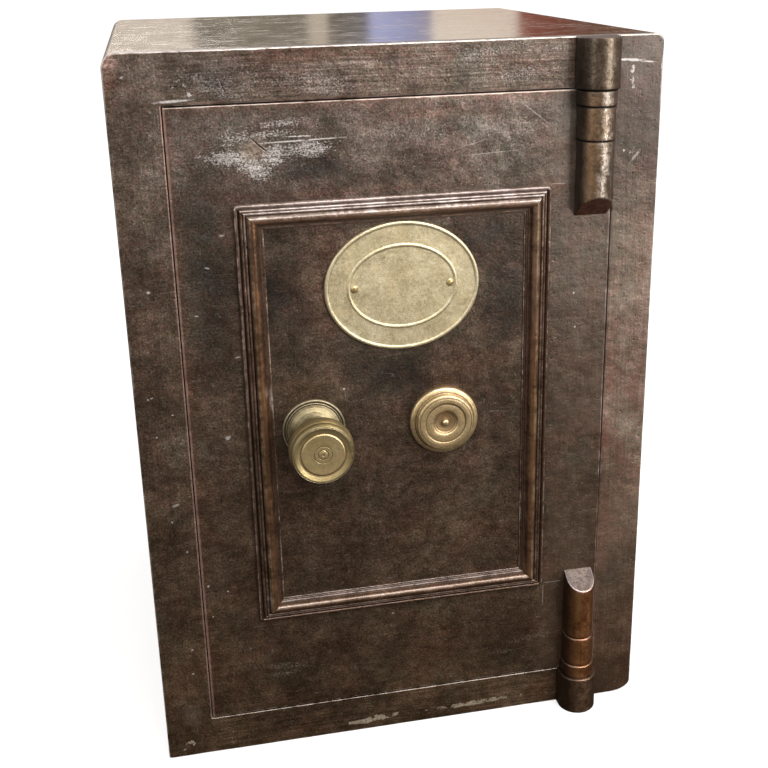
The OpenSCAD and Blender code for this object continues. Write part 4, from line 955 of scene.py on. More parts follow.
def plain_metal(name, stops, metal, rough0, grain=(420, 60, 60), edge=(0.40, 0.36, 0.33), worn=0.5, bump=0.00018, tint=None):
    """Inside metals: oiled sheet iron, turned steel, lock brass and the drawer's paint."""
    t = Tree(name)
    wide = t.noise(15, 3, 0.55)
    mott = t.noise(60, 4, 0.6)
    spot = t.noise(240, 3, 0.6)
    line = t.noise(1, 4, 0.6, t.at(grain, (1, 2, 3)))
    relief = t.attr("relief")
    v = t.add(0.5, t.swing(wide, 0.24), t.swing(mott, 0.30), t.swing(spot, 0.20), t.swing(line, 0.26))
    colour = t.ramp(v, stops)
    if tint is not None:
        colour = t.mix(t.step(t.noise(34, 4, 0.65, t.at((1, 1, 1), (5, 2, 8))), 0.54, 0.68, 0, 0.7), colour, tint)
    wear = t.mul(t.step(relief, 0.1, 0.6), t.step(t.add(relief, t.swing(spot, 0.8), t.swing(mott, 0.7)), 0.45, 1.0))
    chip = t.mul(t.step(t.noise(150, 4, 0.7, t.at((1, 1, 1), (8, 2, 1))), 0.70, 0.72), t.step(mott, 0.50, 0.6))
    wear = t.top_of(wear, t.mul(chip, 0.7))
    colour = t.mix(t.mul(wear, worn), colour, edge)
    rough = t.add(rough0, t.swing(mott, 0.12), t.swing(spot, 0.10), t.mul(wear, -0.05))
    h = t.add(t.mul(spot, 0.8), t.mul(line, 0.7), t.mul(chip, -0.8))
    return t.done(colour, rough, metal, t.bump(h, bump, 0.5))


def packed_filling(name):
    t = Tree(name)
    mott = t.noise(90, 5, 0.7)
    grit = t.noise(700, 3, 0.6)
    v = t.add(0.5, t.swing(mott, 0.5), t.swing(grit, 0.4))
    colour = t.ramp(v, [(0.0, (0.34, 0.30, 0.23)), (0.5, (0.56, 0.52, 0.43)), (1.0, (0.72, 0.69, 0.60))])
    return t.done(colour, t.add(0.86, t.swing(mott, 0.1)), 0.0, t.bump(t.add(mott, grit), 0.0006, 0.8))


M_FRAME = iron_front("front_iron_frame", "frame")
M_DOOR = iron_front("front_iron_door", "door")
M_BODY = iron_body("body_iron")
M_MOULD = iron_moulding("moulding_iron")
M_HINGE = iron_hinge("hinge_iron")
M_BRASS = brass("turned_brass")
M_PLATE = brass("plate_brass", plate=True)
M_DARK = plain_metal(
    "dark_iron", [(0.0, (0.020, 0.017, 0.015)), (0.5, (0.062, 0.053, 0.046)), (1.0, (0.150, 0.128, 0.110))],
    0.60, 0.44, (70, 90, 420), tint=(0.085, 0.044, 0.026))
M_STEEL = plain_metal(
    "steel", [(0.0, (0.16, 0.15, 0.14)), (0.5, (0.36, 0.35, 0.34)), (1.0, (0.60, 0.59, 0.57))],
    0.95, 0.30, (900, 90, 90), edge=(0.70, 0.68, 0.66), bump=0.00010, tint=(0.20, 0.13, 0.085))
M_LOCK = plain_metal(
    "lock_brass", [(0.0, (0.26, 0.18, 0.07)), (0.5, (0.47, 0.36, 0.17)), (1.0, (0.68, 0.58, 0.34))],
    0.95, 0.34, (70, 90, 700), edge=(0.80, 0.72, 0.48), bump=0.00010)
M_PAINT = plain_metal(
    "drawer_paint", [(0.0, (0.060, 0.016, 0.010)), (0.5, (0.150, 0.036, 0.021)), (1.0, (0.24, 0.072, 0.042))],
    0.0, 0.44, (40, 90, 420), edge=(0.10, 0.085, 0.075), worn=0.8, tint=(0.060, 0.024, 0.016))
M_FILL = packed_filling("filling")

# ------------------------------------------------------------------ front frame and outer plate

R_OUT = ((11.0, 11.0), (7.0, 7.0), (20.0, 10.5), (2.0, 2.0))
HOLE = (-177.0, 178.5, 35.5, 570.6)


def outline(inset):
    return rr(-217 + inset, 217 - inset, inset, 610 - inset, [(max(a - inset, 0.3), max(b - inset, 0.3)) for a, b in R_OUT])


def opening(o):
    return rr(HOLE[0] - o, HOLE[1] + o, HOLE[2] - o, HOLE[3] + o, [0.6 + o] * 4)


OUT0, OUT3 = outline(0.0), outline(2.9)


def inset_by(d):
    """The outer outline moved in by d millimetres, which may differ from point to point."""
    return OUT0 + (OUT3 - OUT0) * (np.asarray(d) / 2.9)[:, None]


def face_wave(xz, seed=3):
    p = np.column_stack([xz[:, 0], np.zeros(len(xz)), xz[:, 1]])
    return 0.03 + 0.055 * (1 + fbm(p, 55, seed, 3))


def front_frame():
    loops, rel = [], []

    def put(xz, depth, value):
        loops.append(at_depth(xz, depth))
        rel.append(np.full(len(xz), value) if np.isscalar(value) else value)

    for d in (12.0, 8.0, 4.0):
        put(opening(0), d, 0.0)
    w = face_wave(opening(0))
    for a, v in ((0, 0.3), (30, 0.9), (60, 1.0), (90, 0.5)):
        s, c = math.sin(math.radians(a)), math.cos(math.radians(a))
        put(opening(0.75 * (1 - c)), 0.75 * (1 - s) + w, v)
    p3 = np.column_stack([OUT0[:, 0], np.zeros(len(OUT0)), OUT0[:, 1]])
    r = 1.15 + 0.35 * fbm(p3, 26, 11, 3) + 0.35 * np.clip(noise(p3, 9, 5) - 0.45, 0, 1)
    inner, outer = opening(0.75), inset_by(r)
    for k in range(1, 18):
        f = k / 18
        f = 0.5 - 0.5 * math.cos(math.pi * f) if k in (1, 17) else f
        xz = inner + (outer - inner) * f
        put(xz, face_wave(xz), 0.06 if k in (1, 17) else 0.0)
    w = face_wave(outer)
    for a, v in ((0, 0.45), (22, 0.9), (45, 1.0), (68, 0.9), (90, 0.4)):
        s, c = math.sin(math.radians(a)), math.cos(math.radians(a))
        put(inset_by(r * (1 - s)), w * c + r * (1 - c), v)
    put(OUT0, 6.0, 0.0)
    put(OUT0, 12.0, 0.0)
    co, faces = loft(loops, wrap=True)
    return add("front_frame_plate", co, faces, "body", ["front_frame"], M_FRAME, np.concatenate(rel))


def outer_shell():
    loops, rel = [], []
    depths = [12.0, 13.5, 16.0, 22.0] + list(np.linspace(34, 426, 26)) + [428.6]
    flat = np.where(OUT0[:, 1] > 600, 0.10, np.where(OUT0[:, 1] < 20, 0.0, 1.0))
    for d in depths:
        p = at_depth(OUT0, d)
        q = p.copy()
        q[:, 1] += 400
        w = 0.16 * (1 + fbm(q, 95, 21, 2)) * flat * min(1.0, max(0.0, (d - 13.5) / 25)) * min(1.0, (430 - d) / 12)
        p = at_depth(inset_by(np.minimum(w, 2.8)), d)
        loops.append(p)
        rel.append(np.full(len(p), 0.0))
    for a in (30, 60, 90):
        s, c = math.sin(math.radians(a)), math.cos(math.radians(a))
        loops.append(at_depth(inset_by(np.full(len(OUT0), 1.4 * (1 - c))), 428.6 + 1.4 * s))
        rel.append(np.full(len(OUT0), 0.9))
    loops.append(at_depth(rr(-211.6, 211.6, 5.4, 604.6, (6, 2, 12, 1)), 430.0))
    rel.append(np.full(len(OUT0), 0.7))
    inner = rr(-211, 211, 6, 604, (5, 1, 11, 1))
    loops.append(at_depth(inner, 429.4))
    rel.append(np.full(len(OUT0), 0.3))
    for d in (420.0, 12.0):
        loops.append(at_depth(inner, d))
        rel.append(np.full(len(OUT0), 0.0))
    co, faces = loft(loops, wrap=True)
    return add("outer_plate", co, faces, "body", ["outer_shell"], M_BODY, np.concatenate(rel))


front_frame()
outer_shell()

# ------------------------------------------------------------------ door plate

DX0, DX1, DZ0, DZ1 = -176.0, 177.5, 36.5, 569.6


def door_plate():
    r = 0.95
    rim = [0.0, 0.12, 0.35, 0.65, 1.0, 1.8]
    xs = np.array([DX0 + d for d in rim] + list(np.linspace(DX0 + 5, DX1 - 5, 92)) + [DX1 - d for d in rim[::-1]])
    zs = np.array([DZ0 + d for d in rim] + list(np.linspace(DZ0 + 5, DZ1 - 5, 138)) + [DZ1 - d for d in rim[::-1]])
    gx, gz = np.meshgrid(xs, zs, indexing="ij")
    n, m = gx.shape
    gx, gz = gx.ravel(), gz.ravel()
    ex = np.minimum(gx - DX0, DX1 - gx)
    ez = np.minimum(gz - DZ0, DZ1 - gz)
    drop = sum(r - np.sqrt(np.maximum(0, r * r - np.maximum(0, r - e) ** 2)) for e in (ex, ez))
    xz = np.column_stack([gx, gz])
    depth = np.minimum(drop, 1.6) + face_wave(xz, 9)
    edge = np.minimum(ex, ez)
    rel = np.interp(edge, [0, 0.12, 0.65, 1.0, 1.8, 5], [0.4, 1.0, 1.0, 0.6, 0.12, 0.0])
    front = at_depth(xz, depth)
    faces = [(i * m + j, (i + 1) * m + j, (i + 1) * m + j + 1, i * m + j + 1) for i in range(n - 1) for j in range(m - 1)]
    ring = [i * m for i in range(n)] + [(n - 1) * m + j for j in range(1, m)]
    ring += [i * m + m - 1 for i in range(n - 2, -1, -1)] + [j for j in range(m - 2, 0, -1)]
    co, rels, base, k = [front], [rel], len(front), len(ring)
    last = ring
    for d, inset, value in ((4.0, 0, 0.0), (8.0, 0, 0.0), (11.6, 0, 0.6), (12.0, 0.4, 0.6), (12.0, 1.4, 0.0)):
        q = front[ring].copy()
        q[:, 0] = np.clip(q[:, 0], DX0 + inset, DX1 - inset)
        q[:, 1] = YF + d
        q[:, 2] = np.clip(q[:, 2], DZ0 + inset, DZ1 - inset)
        co.append(q)
        rels.append(np.full(k, value))
        now = list(range(base, base + k))
        faces += [(last[i], last[(i + 1) % k], now[(i + 1) % k], now[i]) for i in range(k)]
        last, base = now, base + k
    faces.append(tuple(last))
    ob = add("door_slab", np.concatenate(co), faces, "door", ["door_plate"], M_DOOR, np.concatenate(rels))
    cut(ob, prism(circle(-75, 303, 7.08), YF - 2, YF + 14))
    cut(ob, prism(keyhole(), YF - 2, YF + 14))
    cut(ob, prism(circle(35, 319.5, 2.0, 24), YF - 2, YF + 5))
    for s in (-1, 1):
        cut(ob, prism(circle(1.7 + s * 39.2, 420.5, 1.56, 24), YF - 2, YF + 7))
    return ob


door_plate()

# ------------------------------------------------------------------ moulding

MX0, MX1, MZ0, MZ1, WX, WZ = -129.5, 125.9, 128.3, 494.2, 22.2, 20.2


def mould_profile():
    pts = [(0, 0), (0, 1.2)] + arc(1.7, 1.7, 1.7, 180, 20, 12)[1:]
    pts += fillet([(3.30, 2.28), (3.6, 1.7, 0.25), (4.15, 1.7, 0.2), (4.2, 3.0)], 3)[1:-1]
    pts += arc(5.3, 3.1, 1.1, 175, 12, 10) + arc(7.5, 3.9, 1.1, 165, 10, 10)
    pts += [(8.78, 3.6), (8.92, 3.55)] + arc(12.9, 3.9, 3.9, 178, 8, 26)
    pts += fillet(
        [(16.76, 4.44), (17.55, 2.9, 0.35), (18.8, 2.9, 0.28), (18.8, 1.9, 0.18), (20.4, 1.9, 0.28), (20.4, 1.0, 0.15), (21.5, 1.0, 0.3), (21.5, 0)], 3)[1:]
    return pts


PROF = mould_profile()
PREL = bend_of(PROF, 0.62)


def round_corner(x, z, r=4.2):
    """Draws the outermost lines of the moulding in round its four corners."""
    cx = np.where(x < 0, MX0 + r, MX1 - r)
    cz = np.where(z < 311, MZ0 + r, MZ1 - r)
    a = np.where(x < 0, cx - x, x - cx)
    b = np.where(z < 311, cz - z, z - cz)
    near = (a > 0) & (b > 0)
    k = np.where(near, np.maximum(a, b) / np.maximum(np.hypot(a, b), 1e-9), 1.0)
    return np.where(near, cx + (x - cx) * k, x), np.where(near, cz + (z - cz) * k, z)


def moulding(name, node, side):
    p = np.array(PROF)
    u = p[:, 0] / 21.5
    stations = np.linspace(0, 1, 90 if side in "TB" else 120)
    ends = np.array([0, 0.4, 0.9, 1.5, 2.2, 3.0, 4.2]) / (255.4 if side in "TB" else 365.9)
    stations = np.concatenate([ends, stations[(stations > ends[-1] * 1.3) & (stations < 1 - ends[-1] * 1.3)], 1 - ends[::-1]])
    loops, rel = [], []
    for t in stations:
        xa, xb, za, zb = MX0 + u * WX, MX1 - u * WX, MZ0 + u * WZ, MZ1 - u * WZ
        if side in "TB":
            x = xa + (xb - xa) * t
            z = (zb if side == "T" else za) + 0 * x
        else:
            z = za + (zb - za) * t
            x = (xa if side == "L" else xb) + 0 * z
        q = np.column_stack([x, np.zeros(len(x)), z])
        wob = (0.06 * (1 + fbm(q, 30, 31, 2)) + 0.5 * np.clip(noise(q, 6.5, 77) - 0.86, 0, 1)) * np.clip(p[:, 1] / 1.5, 0, 1)
        h = p[:, 1] - wob * min(1.0, 20 * t, 20 * (1 - t))
        x, z = round_corner(x, z)
        loops.append(np.column_stack([x, YF - np.maximum(h, 0.0), z]))
        rel.append(PREL)
    co, faces = loft(loops, cap0=True, cap1=True)
    kind = {"T": 1.0, "B": 0.6, "L": 0.2, "R": 0.0}[side]
    ob = add(name, co, faces, "door", [node], M_MOULD, np.concatenate(rel), np.full(len(co), kind), sharp=50)
    ob.data.attributes["turn"].name = "kind"
    return ob


moulding("moulding_length_top", "moulding_top", "T")
moulding("moulding_length_bottom", "moulding_bottom", "B")
moulding("moulding_length_left", "moulding_left", "L")
moulding("moulding_length_right", "moulding_right", "R")

# ------------------------------------------------------------------ hinges

HX, HP, PIN = 160.2, 7.0, 7.0


def d_section(r, back=0.0):
    """x and distance in front of the face, round a flat-backed section with a half-round nose."""
    pts = [(-r, p) for p in np.linspace(back, HP, 6)[:-1]]
    pts += [(r * math.cos(a), HP + r * math.sin(a)) for a in np.radians(np.linspace(180, 0, 45))]
    pts += [(r, p) for p in np.linspace(HP, back, 6)[1:]]
    pts += [(x, back) for x in np.linspace(r, -r, 10)[1:-1]]
    return np.array(pts)


def hinge(name, node, body, r, z0, z1, b0=0.8, b1=0.8, hole=None, slant=None, grow=0.07, edge=(0.8, 0.8)):
    """A hinge barrel from z0 to z1; hole is (from, to) in z; slant is ("low" or "high", z at the face, rise per mm);
    edge is the relief of the lower and the upper rim: above 0 for a bright rim, rubbing with a painted highlight on
    rims turned up; below 0 for a dark rim, dirt with painted shade in the gaps between barrels."""
    base = d_section(r)
    unit = base - np.array([0, HP])
    unit = unit / np.linalg.norm(unit, axis=1)[:, None]
    cyl = unit * (PIN + 0.1) + np.array([0, HP])

    def z_of(z, sec):
        if slant and ((slant[0] == "low" and z == z0) or (slant[0] == "high" and z == z1)):
            return slant[1] + slant[2] * sec[:, 1]
        return np.full(len(sec), float(z))

    lo, hi = z_of(z0, base), z_of(z1, base)
    loops, rel, cuts = [], [], []

    def put(sec, z, value, isc=0.0):
        loops.append(np.column_stack([HX + sec[:, 0], YF - sec[:, 1], z]))
        rel.append(np.full(len(sec), value))
        cuts.append(np.full(len(sec), isc))

    def inner(zs):
        for z in zs:
            put(cyl, np.full(len(cyl), float(z)), 0.0)

    def end_ring(which, b):
        """Face of one end, from the bevel inwards."""
        s = d_section(r - b)
        z = z_of(z0 if which == "low" else z1, s)
        return s, z

    def flat(which, b):
        s, z = end_ring(which, b)
        isc = 1.0 if slant and slant[0] == which else 0.0
        sign = 1 if which == "low" else -1
        put(s, z, 0.25 if isc else 0.1, isc)
        if isc:
            mid = np.array([0.0, (s[:, 1].max() + 0) / 2.3])
            for f, dish in ((0.9, 0.03), (0.72, 0.16), (0.5, 0.26), (0.28, 0.32), (0.08, 0.34)):
                q = mid + (s - mid) * f
                zz = z_of(z0 if which == "low" else z1, q)
                put(q, zz + sign * dish, 0.0, 1.0)

    def body_side():
        n = max(6, int((z1 - z0) / 2.2))
        for a, v in ((35, 0.9), (65, 1.0), (90, 0.5)):
            s, c = math.sin(math.radians(a)), math.cos(math.radians(a))
            put(d_section(r - b0 * (1 - s)), lo + b0 * (1 - c), v * edge[0])
        for k in range(1, n):
            f = k / n
            z = lo + b0 + (hi - b1 - lo - b0) * f
            q = np.column_stack([base[:, 0], base[:, 1], z])
            nose = np.clip(base[:, 1] / 4.0, 0, 1)
            w = grow * (1 + fbm(q, 9, 41, 3)) * nose * min(1, 6 * f, 6 * (1 - f))
            sec = base - unit * w[:, None]
            put(sec, z, 0.0)
        for a, v in ((90, 0.5), (65, 1.0), (35, 0.9)):
            s, c = math.sin(math.radians(a)), math.cos(math.radians(a))
            put(d_section(r - b1 * (1 - s)), hi - b1 * (1 - c), v * edge[1])

    wrap = cap0 = cap1 = False
    if hole and hole[0] <= z0 + 0.01 and hole[1] >= z1 - 0.01:
        s, z = end_ring("low", b0)
        put(s, z, 0.1)
        body_side()
        s, z = end_ring("high", b1)
        put(s, z, 0.1)
        inner([z1, z0])
        wrap = True
    elif hole and hole[0] <= z0 + 0.01:
        inner([hole[1], z0])
        s, z = end_ring("low", b0)
        put(s, z, 0.1)
        body_side()
        flat("high", b1)
        cap0 = cap1 = True
    else:
        flat("low", b0)
        if slant and slant[0] == "low":
            flip = 6
            loops[:flip], rel[:flip], cuts[:flip] = loops[:flip][::-1], rel[:flip][::-1], cuts[:flip][::-1]
        body_side()
        s, z = end_ring("high", b1)
        put(s, z, 0.1)
        inner([z1, hole[0]])
        cap0 = cap1 = True
    co, faces = loft(loops, wrap=wrap, cap0=cap0, cap1=cap1)
    ob = add(name, co, faces, body, [node], M_HINGE, np.concatenate(rel), np.concatenate(cuts), sharp=38)
    ob.data.attributes["turn"].name = "cutface"
    return ob


hinge("upper_lug", "upper_hinge_lug", "body", 17.2, 570.2, 610, 0.9, 0.9, (570.2, 606), edge=(-0.7, 0.25))
hinge("upper_collar", "upper_hinge_collar", "door", 15.4, 557.4, 569.6, 0.8, 0.7, (550, 580), edge=(-0.8, -0.7))
hinge("upper_sleeve", "upper_hinge_sleeve", "door", 14.8, 530.6, 557.1, 0.8, 0.8, (520, 560), edge=(-0.7, -0.8))
hinge("upper_knuckle", "upper_hinge_knuckle", "door", 14.0, 467.8, 530.3, 0.6, 0.8, (500, 530.3), ("low", 467.8, 0.838), edge=(0.5, -0.7))
hinge("lower_lug", "lower_hinge_lug", "body", 17.2, 0, 35.9, 1.3, 0.9, (4, 35.9), edge=(0.2, 0.5))
hinge("lower_collar", "lower_hinge_collar", "door", 14.4, 36.5, 48.4, 0.8, 1.2, (30, 50), edge=(-0.5, 0.8))
hinge("lower_sleeve", "lower_hinge_sleeve", "door", 13.0, 48.7, 76.8, 1.2, 1.5, (40, 80), edge=(-0.5, 0.8))
hinge("lower_knuckle", "lower_hinge_knuckle", "door", 12.7, 77.1, 139.2, 1.3, 0.6, (77.1, 106), ("high", 139.2, -0.65), edge=(-0.5, 0.9))

# ------------------------------------------------------------------ brass fittings

lathe("rose", fillet([
    (7.6, 0), (26.4, 0, 0.1), (26.4, 1.2, 0.5), (25.9, 2.2, 0.6), (25.0, 2.45, 0.5), (24.5, 1.7, 0.25), (23.9, 1.75, 0.25),
    (23.3, 2.55, 0.35), (22.6, 2.5, 0.4), (20.4, 3.2, 2.5), (17.0, 5.2, 4.0), (14.0, 6.4, 2.5), (12.2, 6.9, 0.5),
    (11.5, 7.4, 0.4), (11.5, 8.5, 0.3), (10.8, 9.2, 0.4), (8.2, 9.2, 0.3), (7.6, 8.8, 0.2)], 4),
    -75, 303, "door", ["knob_rose"], M_BRASS)
lathe("escutcheon", fillet([
    (0, 0.05), (29.1, 0.05, 0.1), (29.3, 3.1, 0.9), (28.8, 4.2, 0.8), (27.4, 4.95, 1.4), (26.0, 5.3, 0.5), (25.3, 5.45, 0.3),
    (24.9, 5.98, 0.2), (0, 5.98)], 5),
    35, 300.5, "door", ["keyhole_escutcheon"], M_BRASS,
    cuts=(prism(keyhole(0.2), YF - 8, YF + 2), prism(circle(35, 319.5, 2.0, 32), YF - 8, YF + 2)))
lathe("key_cover", fillet([
    (0, 6.2), (24.1, 6.2, 0.15), (24.45, 7, 0.4), (24.45, 8.8, 0.6), (23.9, 9.8, 0.7), (22.6, 10.2, 0.5), (22.2, 10.1, 0.15), (21.8, 10.32, 0.3),
    (20.3, 10.5, 1.2), (18.5, 10.45, 0.8), (17.75, 10.3, 0.2), (17.3, 9.7, 0.15), (16.7, 9.62, 0.3), (14.2, 9.7, 1.5), (12.3, 9.65, 0.8),
    (10.9, 9.45, 0.5), (10.0, 8.75, 0.5), (8.2, 7.95, 1.2), (5.2, 7.6, 1.2), (3.2, 7.6, 0.3), (2.7, 8.2, 0.3), (3.0, 9.1, 0.7), (2.5, 10.1, 0.8),
    (1.4, 10.85, 0.8), (0, 10.95)], 4),
    35, 300.5, "cover", ["keyhole_cover"], M_BRASS,
    cuts=(prism(circle(35, 319.5, 2.06, 32), YF - 8.4, YF), prism(circle(35, 319.5, 2.9, 40), YF - 9, YF - 8)))
lathe("cover_pin", fillet([
    (0, -4.5), (1.9, -4.5), (1.98, -4.0), (1.98, 8.1), (2.5, 8.2, 0.1), (2.5, 8.6, 0.1), (2.3, 8.65), (0, 8.7)], 4),
    35, 319.5, "door", ["cover_pivot_pin"], M_BRASS, seg=48)
lathe("turned_knob", fillet([
    (0, 24), (7.02, 24), (7.02, 9.8), (9.3, 9.8, 0.4), (9.0, 14, 3), (9.2, 19, 3), (10.4, 23.5, 3), (13.5, 27, 3), (18, 29.2, 2), (19.5, 29.8, 0.3),
    (19.6, 31.5, 0.4), (22.4, 32.8, 3), (24.7, 35.2, 3), (25.8, 38.4, 4), (26.05, 41.5, 4), (26.05, 44.5, 3), (25.65, 46.8, 1.5),
    (25.1, 48.0, 0.5), (24.85, 48.6, 0.3), (25.05, 49.4, 0.4), (25.15, 50.6, 0.8), (24.95, 52.0, 0.8), (24.4, 53.3, 0.5), (23.95, 54.0, 0.3),
    (23.55, 53.8, 0.15), (23.15, 54.2, 0.3), (22.4, 54.2, 0.5), (20.9, 53.65, 1.2), (19.2, 53.1, 0.8), (17.95, 52.85, 0.2), (17.45, 53.3, 0.3),
    (16.7, 53.65, 0.6), (12, 53.5, 2), (7.6, 53.5, 0.25), (7.2, 53.22, 0.15), (6.8, 53.5, 0.2), (4.3, 53.46, 0.25), (3.95, 53.22, 0.12), (3.5, 53.75, 0.3),
    (2.2, 53.92, 0.8), (0.95, 53.95, 0.25), (0.5, 53.6, 0.15), (0, 53.5)], 4),
    -75, 303, "handle", ["knob"], M_BRASS, sharp=60)


def oval_plate():
    prof = fillet([
        (0.0, 0.0), (0.0, 1.5, 0.3), (0.3, 2.5, 0.6), (1.5, 3.0, 1.0), (2.7, 2.75, 0.6), (3.3, 2.2, 0.35), (4.4, 2.15, 0.3), (11.0, 2.15),
        (17.9, 2.15, 0.2), (18.6, 2.6, 0.3), (19.4, 2.85, 0.6), (20.4, 2.6, 0.3), (21.1, 2.15, 0.3), (22.4, 2.15), (30, 2.15), (40, 2.15), (48, 2.15), (52.2, 2.15)], 4)
    p = np.array(prof)
    rel = bend_of(prof + [(52.2, 0.0)], 0.55)[:-1]
    rel[-1] = 0.0
    a = np.linspace(0, 2 * math.pi, 192, endpoint=False)
    loops, rels = [], []
    for (d, h), v in zip(p, rel):
        x, z = 1.7 + (63.6 - d) * np.cos(a), 420.2 + (53.4 - d) * np.sin(a)
        q = np.column_stack([x, np.zeros(192), z])
        dent = 0.05 * (1 + fbm(q, 16, 51, 2)) * min(1.0, h / 2.1)
        loops.append(np.column_stack([x, YF - np.maximum(h - dent, 0), z]))
        rels.append(np.full(192, v))
    bottom = loops[0].copy()
    co, faces = loft(loops, cap0=True, cap1=True)
    ob = add("oval_brass", co, faces, "door", ["oval_plate"], M_PLATE, np.concatenate(rels), sharp=40)
    for s in (-1, 1):
        cut(ob, prism(circle(1.7 + s * 39.2, 420.5, 1.56, 24), YF - 5, YF + 1))
    return ob


oval_plate()


def joined(name, objects, body, replaced, mat, sharp=40.0):
    """Several loose solids as one mesh piece."""
    bm = bmesh.new()
    for o in objects:
        bm.from_mesh(o.data)
    me = bpy.data.meshes.new(name)
    bm.to_mesh(me)
    bm.free()
    for o in objects:
        bpy.data.objects.remove(o)
    ob = bpy.data.objects.new(name, me)
    scene.collection.objects.link(ob)
    clean(me, sharp)
    dress(ob, body, replaced, mat)
    return ob


heads = []
for s, tilt in ((-1, 25), (1, -38)):
    cx = 1.7 + s * 39.2
    slot_cut = [(cx + math.cos(math.radians(tilt)) * u - math.sin(math.radians(tilt)) * v,
                 420.5 + math.sin(math.radians(tilt)) * u + math.cos(math.radians(tilt)) * v)
                for u, v in ((-4, -0.38), (4, -0.38), (4, 0.38), (-4, 0.38))]
    heads.append(lathe(f"screw_{s}", fillet([
        (0, -6.5), (1.5, -6.5), (1.5, 2.2), (3.05, 2.2, 0.15), (3.0, 2.7, 0.3), (2.3, 3.4, 0.8), (0, 3.85)], 4),
        cx, 420.5, "door", [], M_BRASS, seg=48, cuts=(prism(slot_cut, YF - 6, YF - 3.1),)))
joined("plate_screw_heads", heads, "door", ["plate_screws"], M_BRASS)

lathe("drawer_pull", fillet([
    (0, -2.4), (2, -2.4), (2, 0, 0.05), (7.4, 0, 0.2), (7.4, 1.4, 0.4), (4.8, 2.3, 1.0), (4.0, 4.5, 1.5), (4.4, 6.4, 1.5), (7.0, 8.4, 1.5), (9.1, 10.6, 1.5),
    (9.35, 12.6, 1.5), (8.0, 14.5, 1.5), (5, 15.6, 1.5), (0, 15.95)], 4),
    0, 216, "drawer", ["drawer_knob"], M_BRASS, seg=72, y0=YF + 160)

# ------------------------------------------------------------------ back rivets

half_w, h_in = 434 / 2 - 6 - 13, 610
spots = [(s * half_w, 33 + i * (h_in - 66) / 6) for i in range(7) for s in (-1, 1)]
spots += [(-half_w + i * (434 - 38) / 5, z) for i in range(1, 5) for z in (19, h_in - 19)]
rivets = []
for i, (rx, rz) in enumerate(spots):
    k = 0.5 + 0.5 * float(hash3(np.int64(i), np.int64(7), np.int64(3), 5))
    rivets.append(lathe(f"rivet_{i}", fillet([
        (0, 0), (3.8, 0), (3.8, 3), (3, 3), (3, 12), (5.4, 12, 0.1), (5.3, 12.7, 0.4), (4.4, 13.8, 1.0), (2.6, 14.55 - 0.3 * k, 1.5), (0, 14.85 - 0.4 * k)], 3),
        rx, rz, "body", [], M_BODY, seg=28, y0=YF + 415, out=-1))
joined("back_rivet_heads", rivets, "body", ["back_rivets"], M_BODY)

# ------------------------------------------------------------------ the other pieces: edges eased on some, materials given to the rest


def eased(node, body, mat, bevel=0.6, segments=2, name=None, sharp=38.0):
    """A copy of a node with its edges eased, which then stands for it."""
    me = nodes[node].data.copy()
    me.name = name or node + "_piece"
    bm = bmesh.new()
    bm.from_mesh(me)
    for layer in list(bm.loops.layers.uv):
        bm.loops.layers.uv.remove(layer)
    bmesh.ops.remove_doubles(bm, verts=bm.verts, dist=2e-6)
    bmesh.ops.dissolve_limit(bm, angle_limit=math.radians(0.6), verts=bm.verts, edges=bm.edges)
    bmesh.ops.recalc_face_normals(bm, faces=bm.faces)
    lay = bm.loops.layers.float.new("relief")
    edges = [e for e in bm.edges if len(e.link_faces) == 2 and e.calc_face_angle(0) > math.radians(35)]
    if edges and bevel:
        made = bmesh.ops.bevel(
            bm, geom=edges, offset=bevel * 0.001, segments=segments, profile=0.5, affect="EDGES", clamp_overlap=True)
        for f in made["faces"]:
            for corner in f.loops:
                corner[lay] = 0.9
    bmesh.ops.remove_doubles(bm, verts=bm.verts, dist=2e-6)
    bm.to_mesh(me)
    bm.free()
    me.polygons.foreach_set("use_smooth", [True] * len(me.polygons))
    me.set_sharp_from_angle(angle=math.radians(sharp))
    ob = bpy.data.objects.new(me.name, me)
    scene.collection.objects.link(ob)
    dress(ob, body, [node], mat)
    even = ob.modifiers.new("even_flats", "WEIGHTED_NORMAL")
    even.mode, even.weight, even.keep_sharp = "FACE_AREA", 90, True
    return ob


for node, body, slot, mat, bevel in (
    ("door_jamb", "body", "dark_iron", M_DARK, 0.7), ("inner_lining", "body", "dark_iron", M_DARK, 0.5),
    ("back_plate", "body", "body_iron", M_BODY, 0.4), ("back_angle", "body", "dark_iron", M_DARK, 0.3),
    ("shelf", "body", "dark_iron", M_DARK, 0.6), ("shelf_brackets", "body", "dark_iron", M_DARK, 0.5),
    ("drawer_runners", "body", "dark_iron", M_DARK, 0.5), ("drawer_tray", "drawer", "drawer_paint", M_PAINT, 0.5),
    ("drawer_front", "drawer", "drawer_paint", M_PAINT, 0.7), ("door_pan", "door", "dark_iron", M_DARK, 0.8),
    ("pan_cover", "door", "dark_iron", M_DARK, 0.7), ("pan_cover_screws", "door", "steel", M_STEEL, 0.15),
    ("hinge_dogs", "door", "steel", M_STEEL, 1.0), ("bolts", "boltwork", "steel", M_STEEL, 1.2),
):
    eased(node, body, mat, bevel)

for node, mat in (
    ("fire_filling", M_FILL), ("door_filling", M_FILL), ("bolt_pockets", M_DARK), ("filling_tray", M_DARK),
    ("bolt_guides", M_DARK), ("lock_case", M_DARK), ("bolt_bar", M_DARK), ("spindle_crank", M_DARK),
    ("upper_hinge_pin", M_STEEL), ("lower_hinge_pin", M_STEEL), ("hard_plate", M_STEEL), ("lever_post", M_STEEL),
    ("spindle", M_STEEL), ("spindle_collar", M_STEEL), ("bolt_rivets", M_STEEL),
    ("lock_cap", M_LOCK), ("lock_bolt", M_LOCK), ("lock_levers", M_LOCK),
):
    data = nodes[node].data
    data.materials.clear()
    data.materials.append(mat)

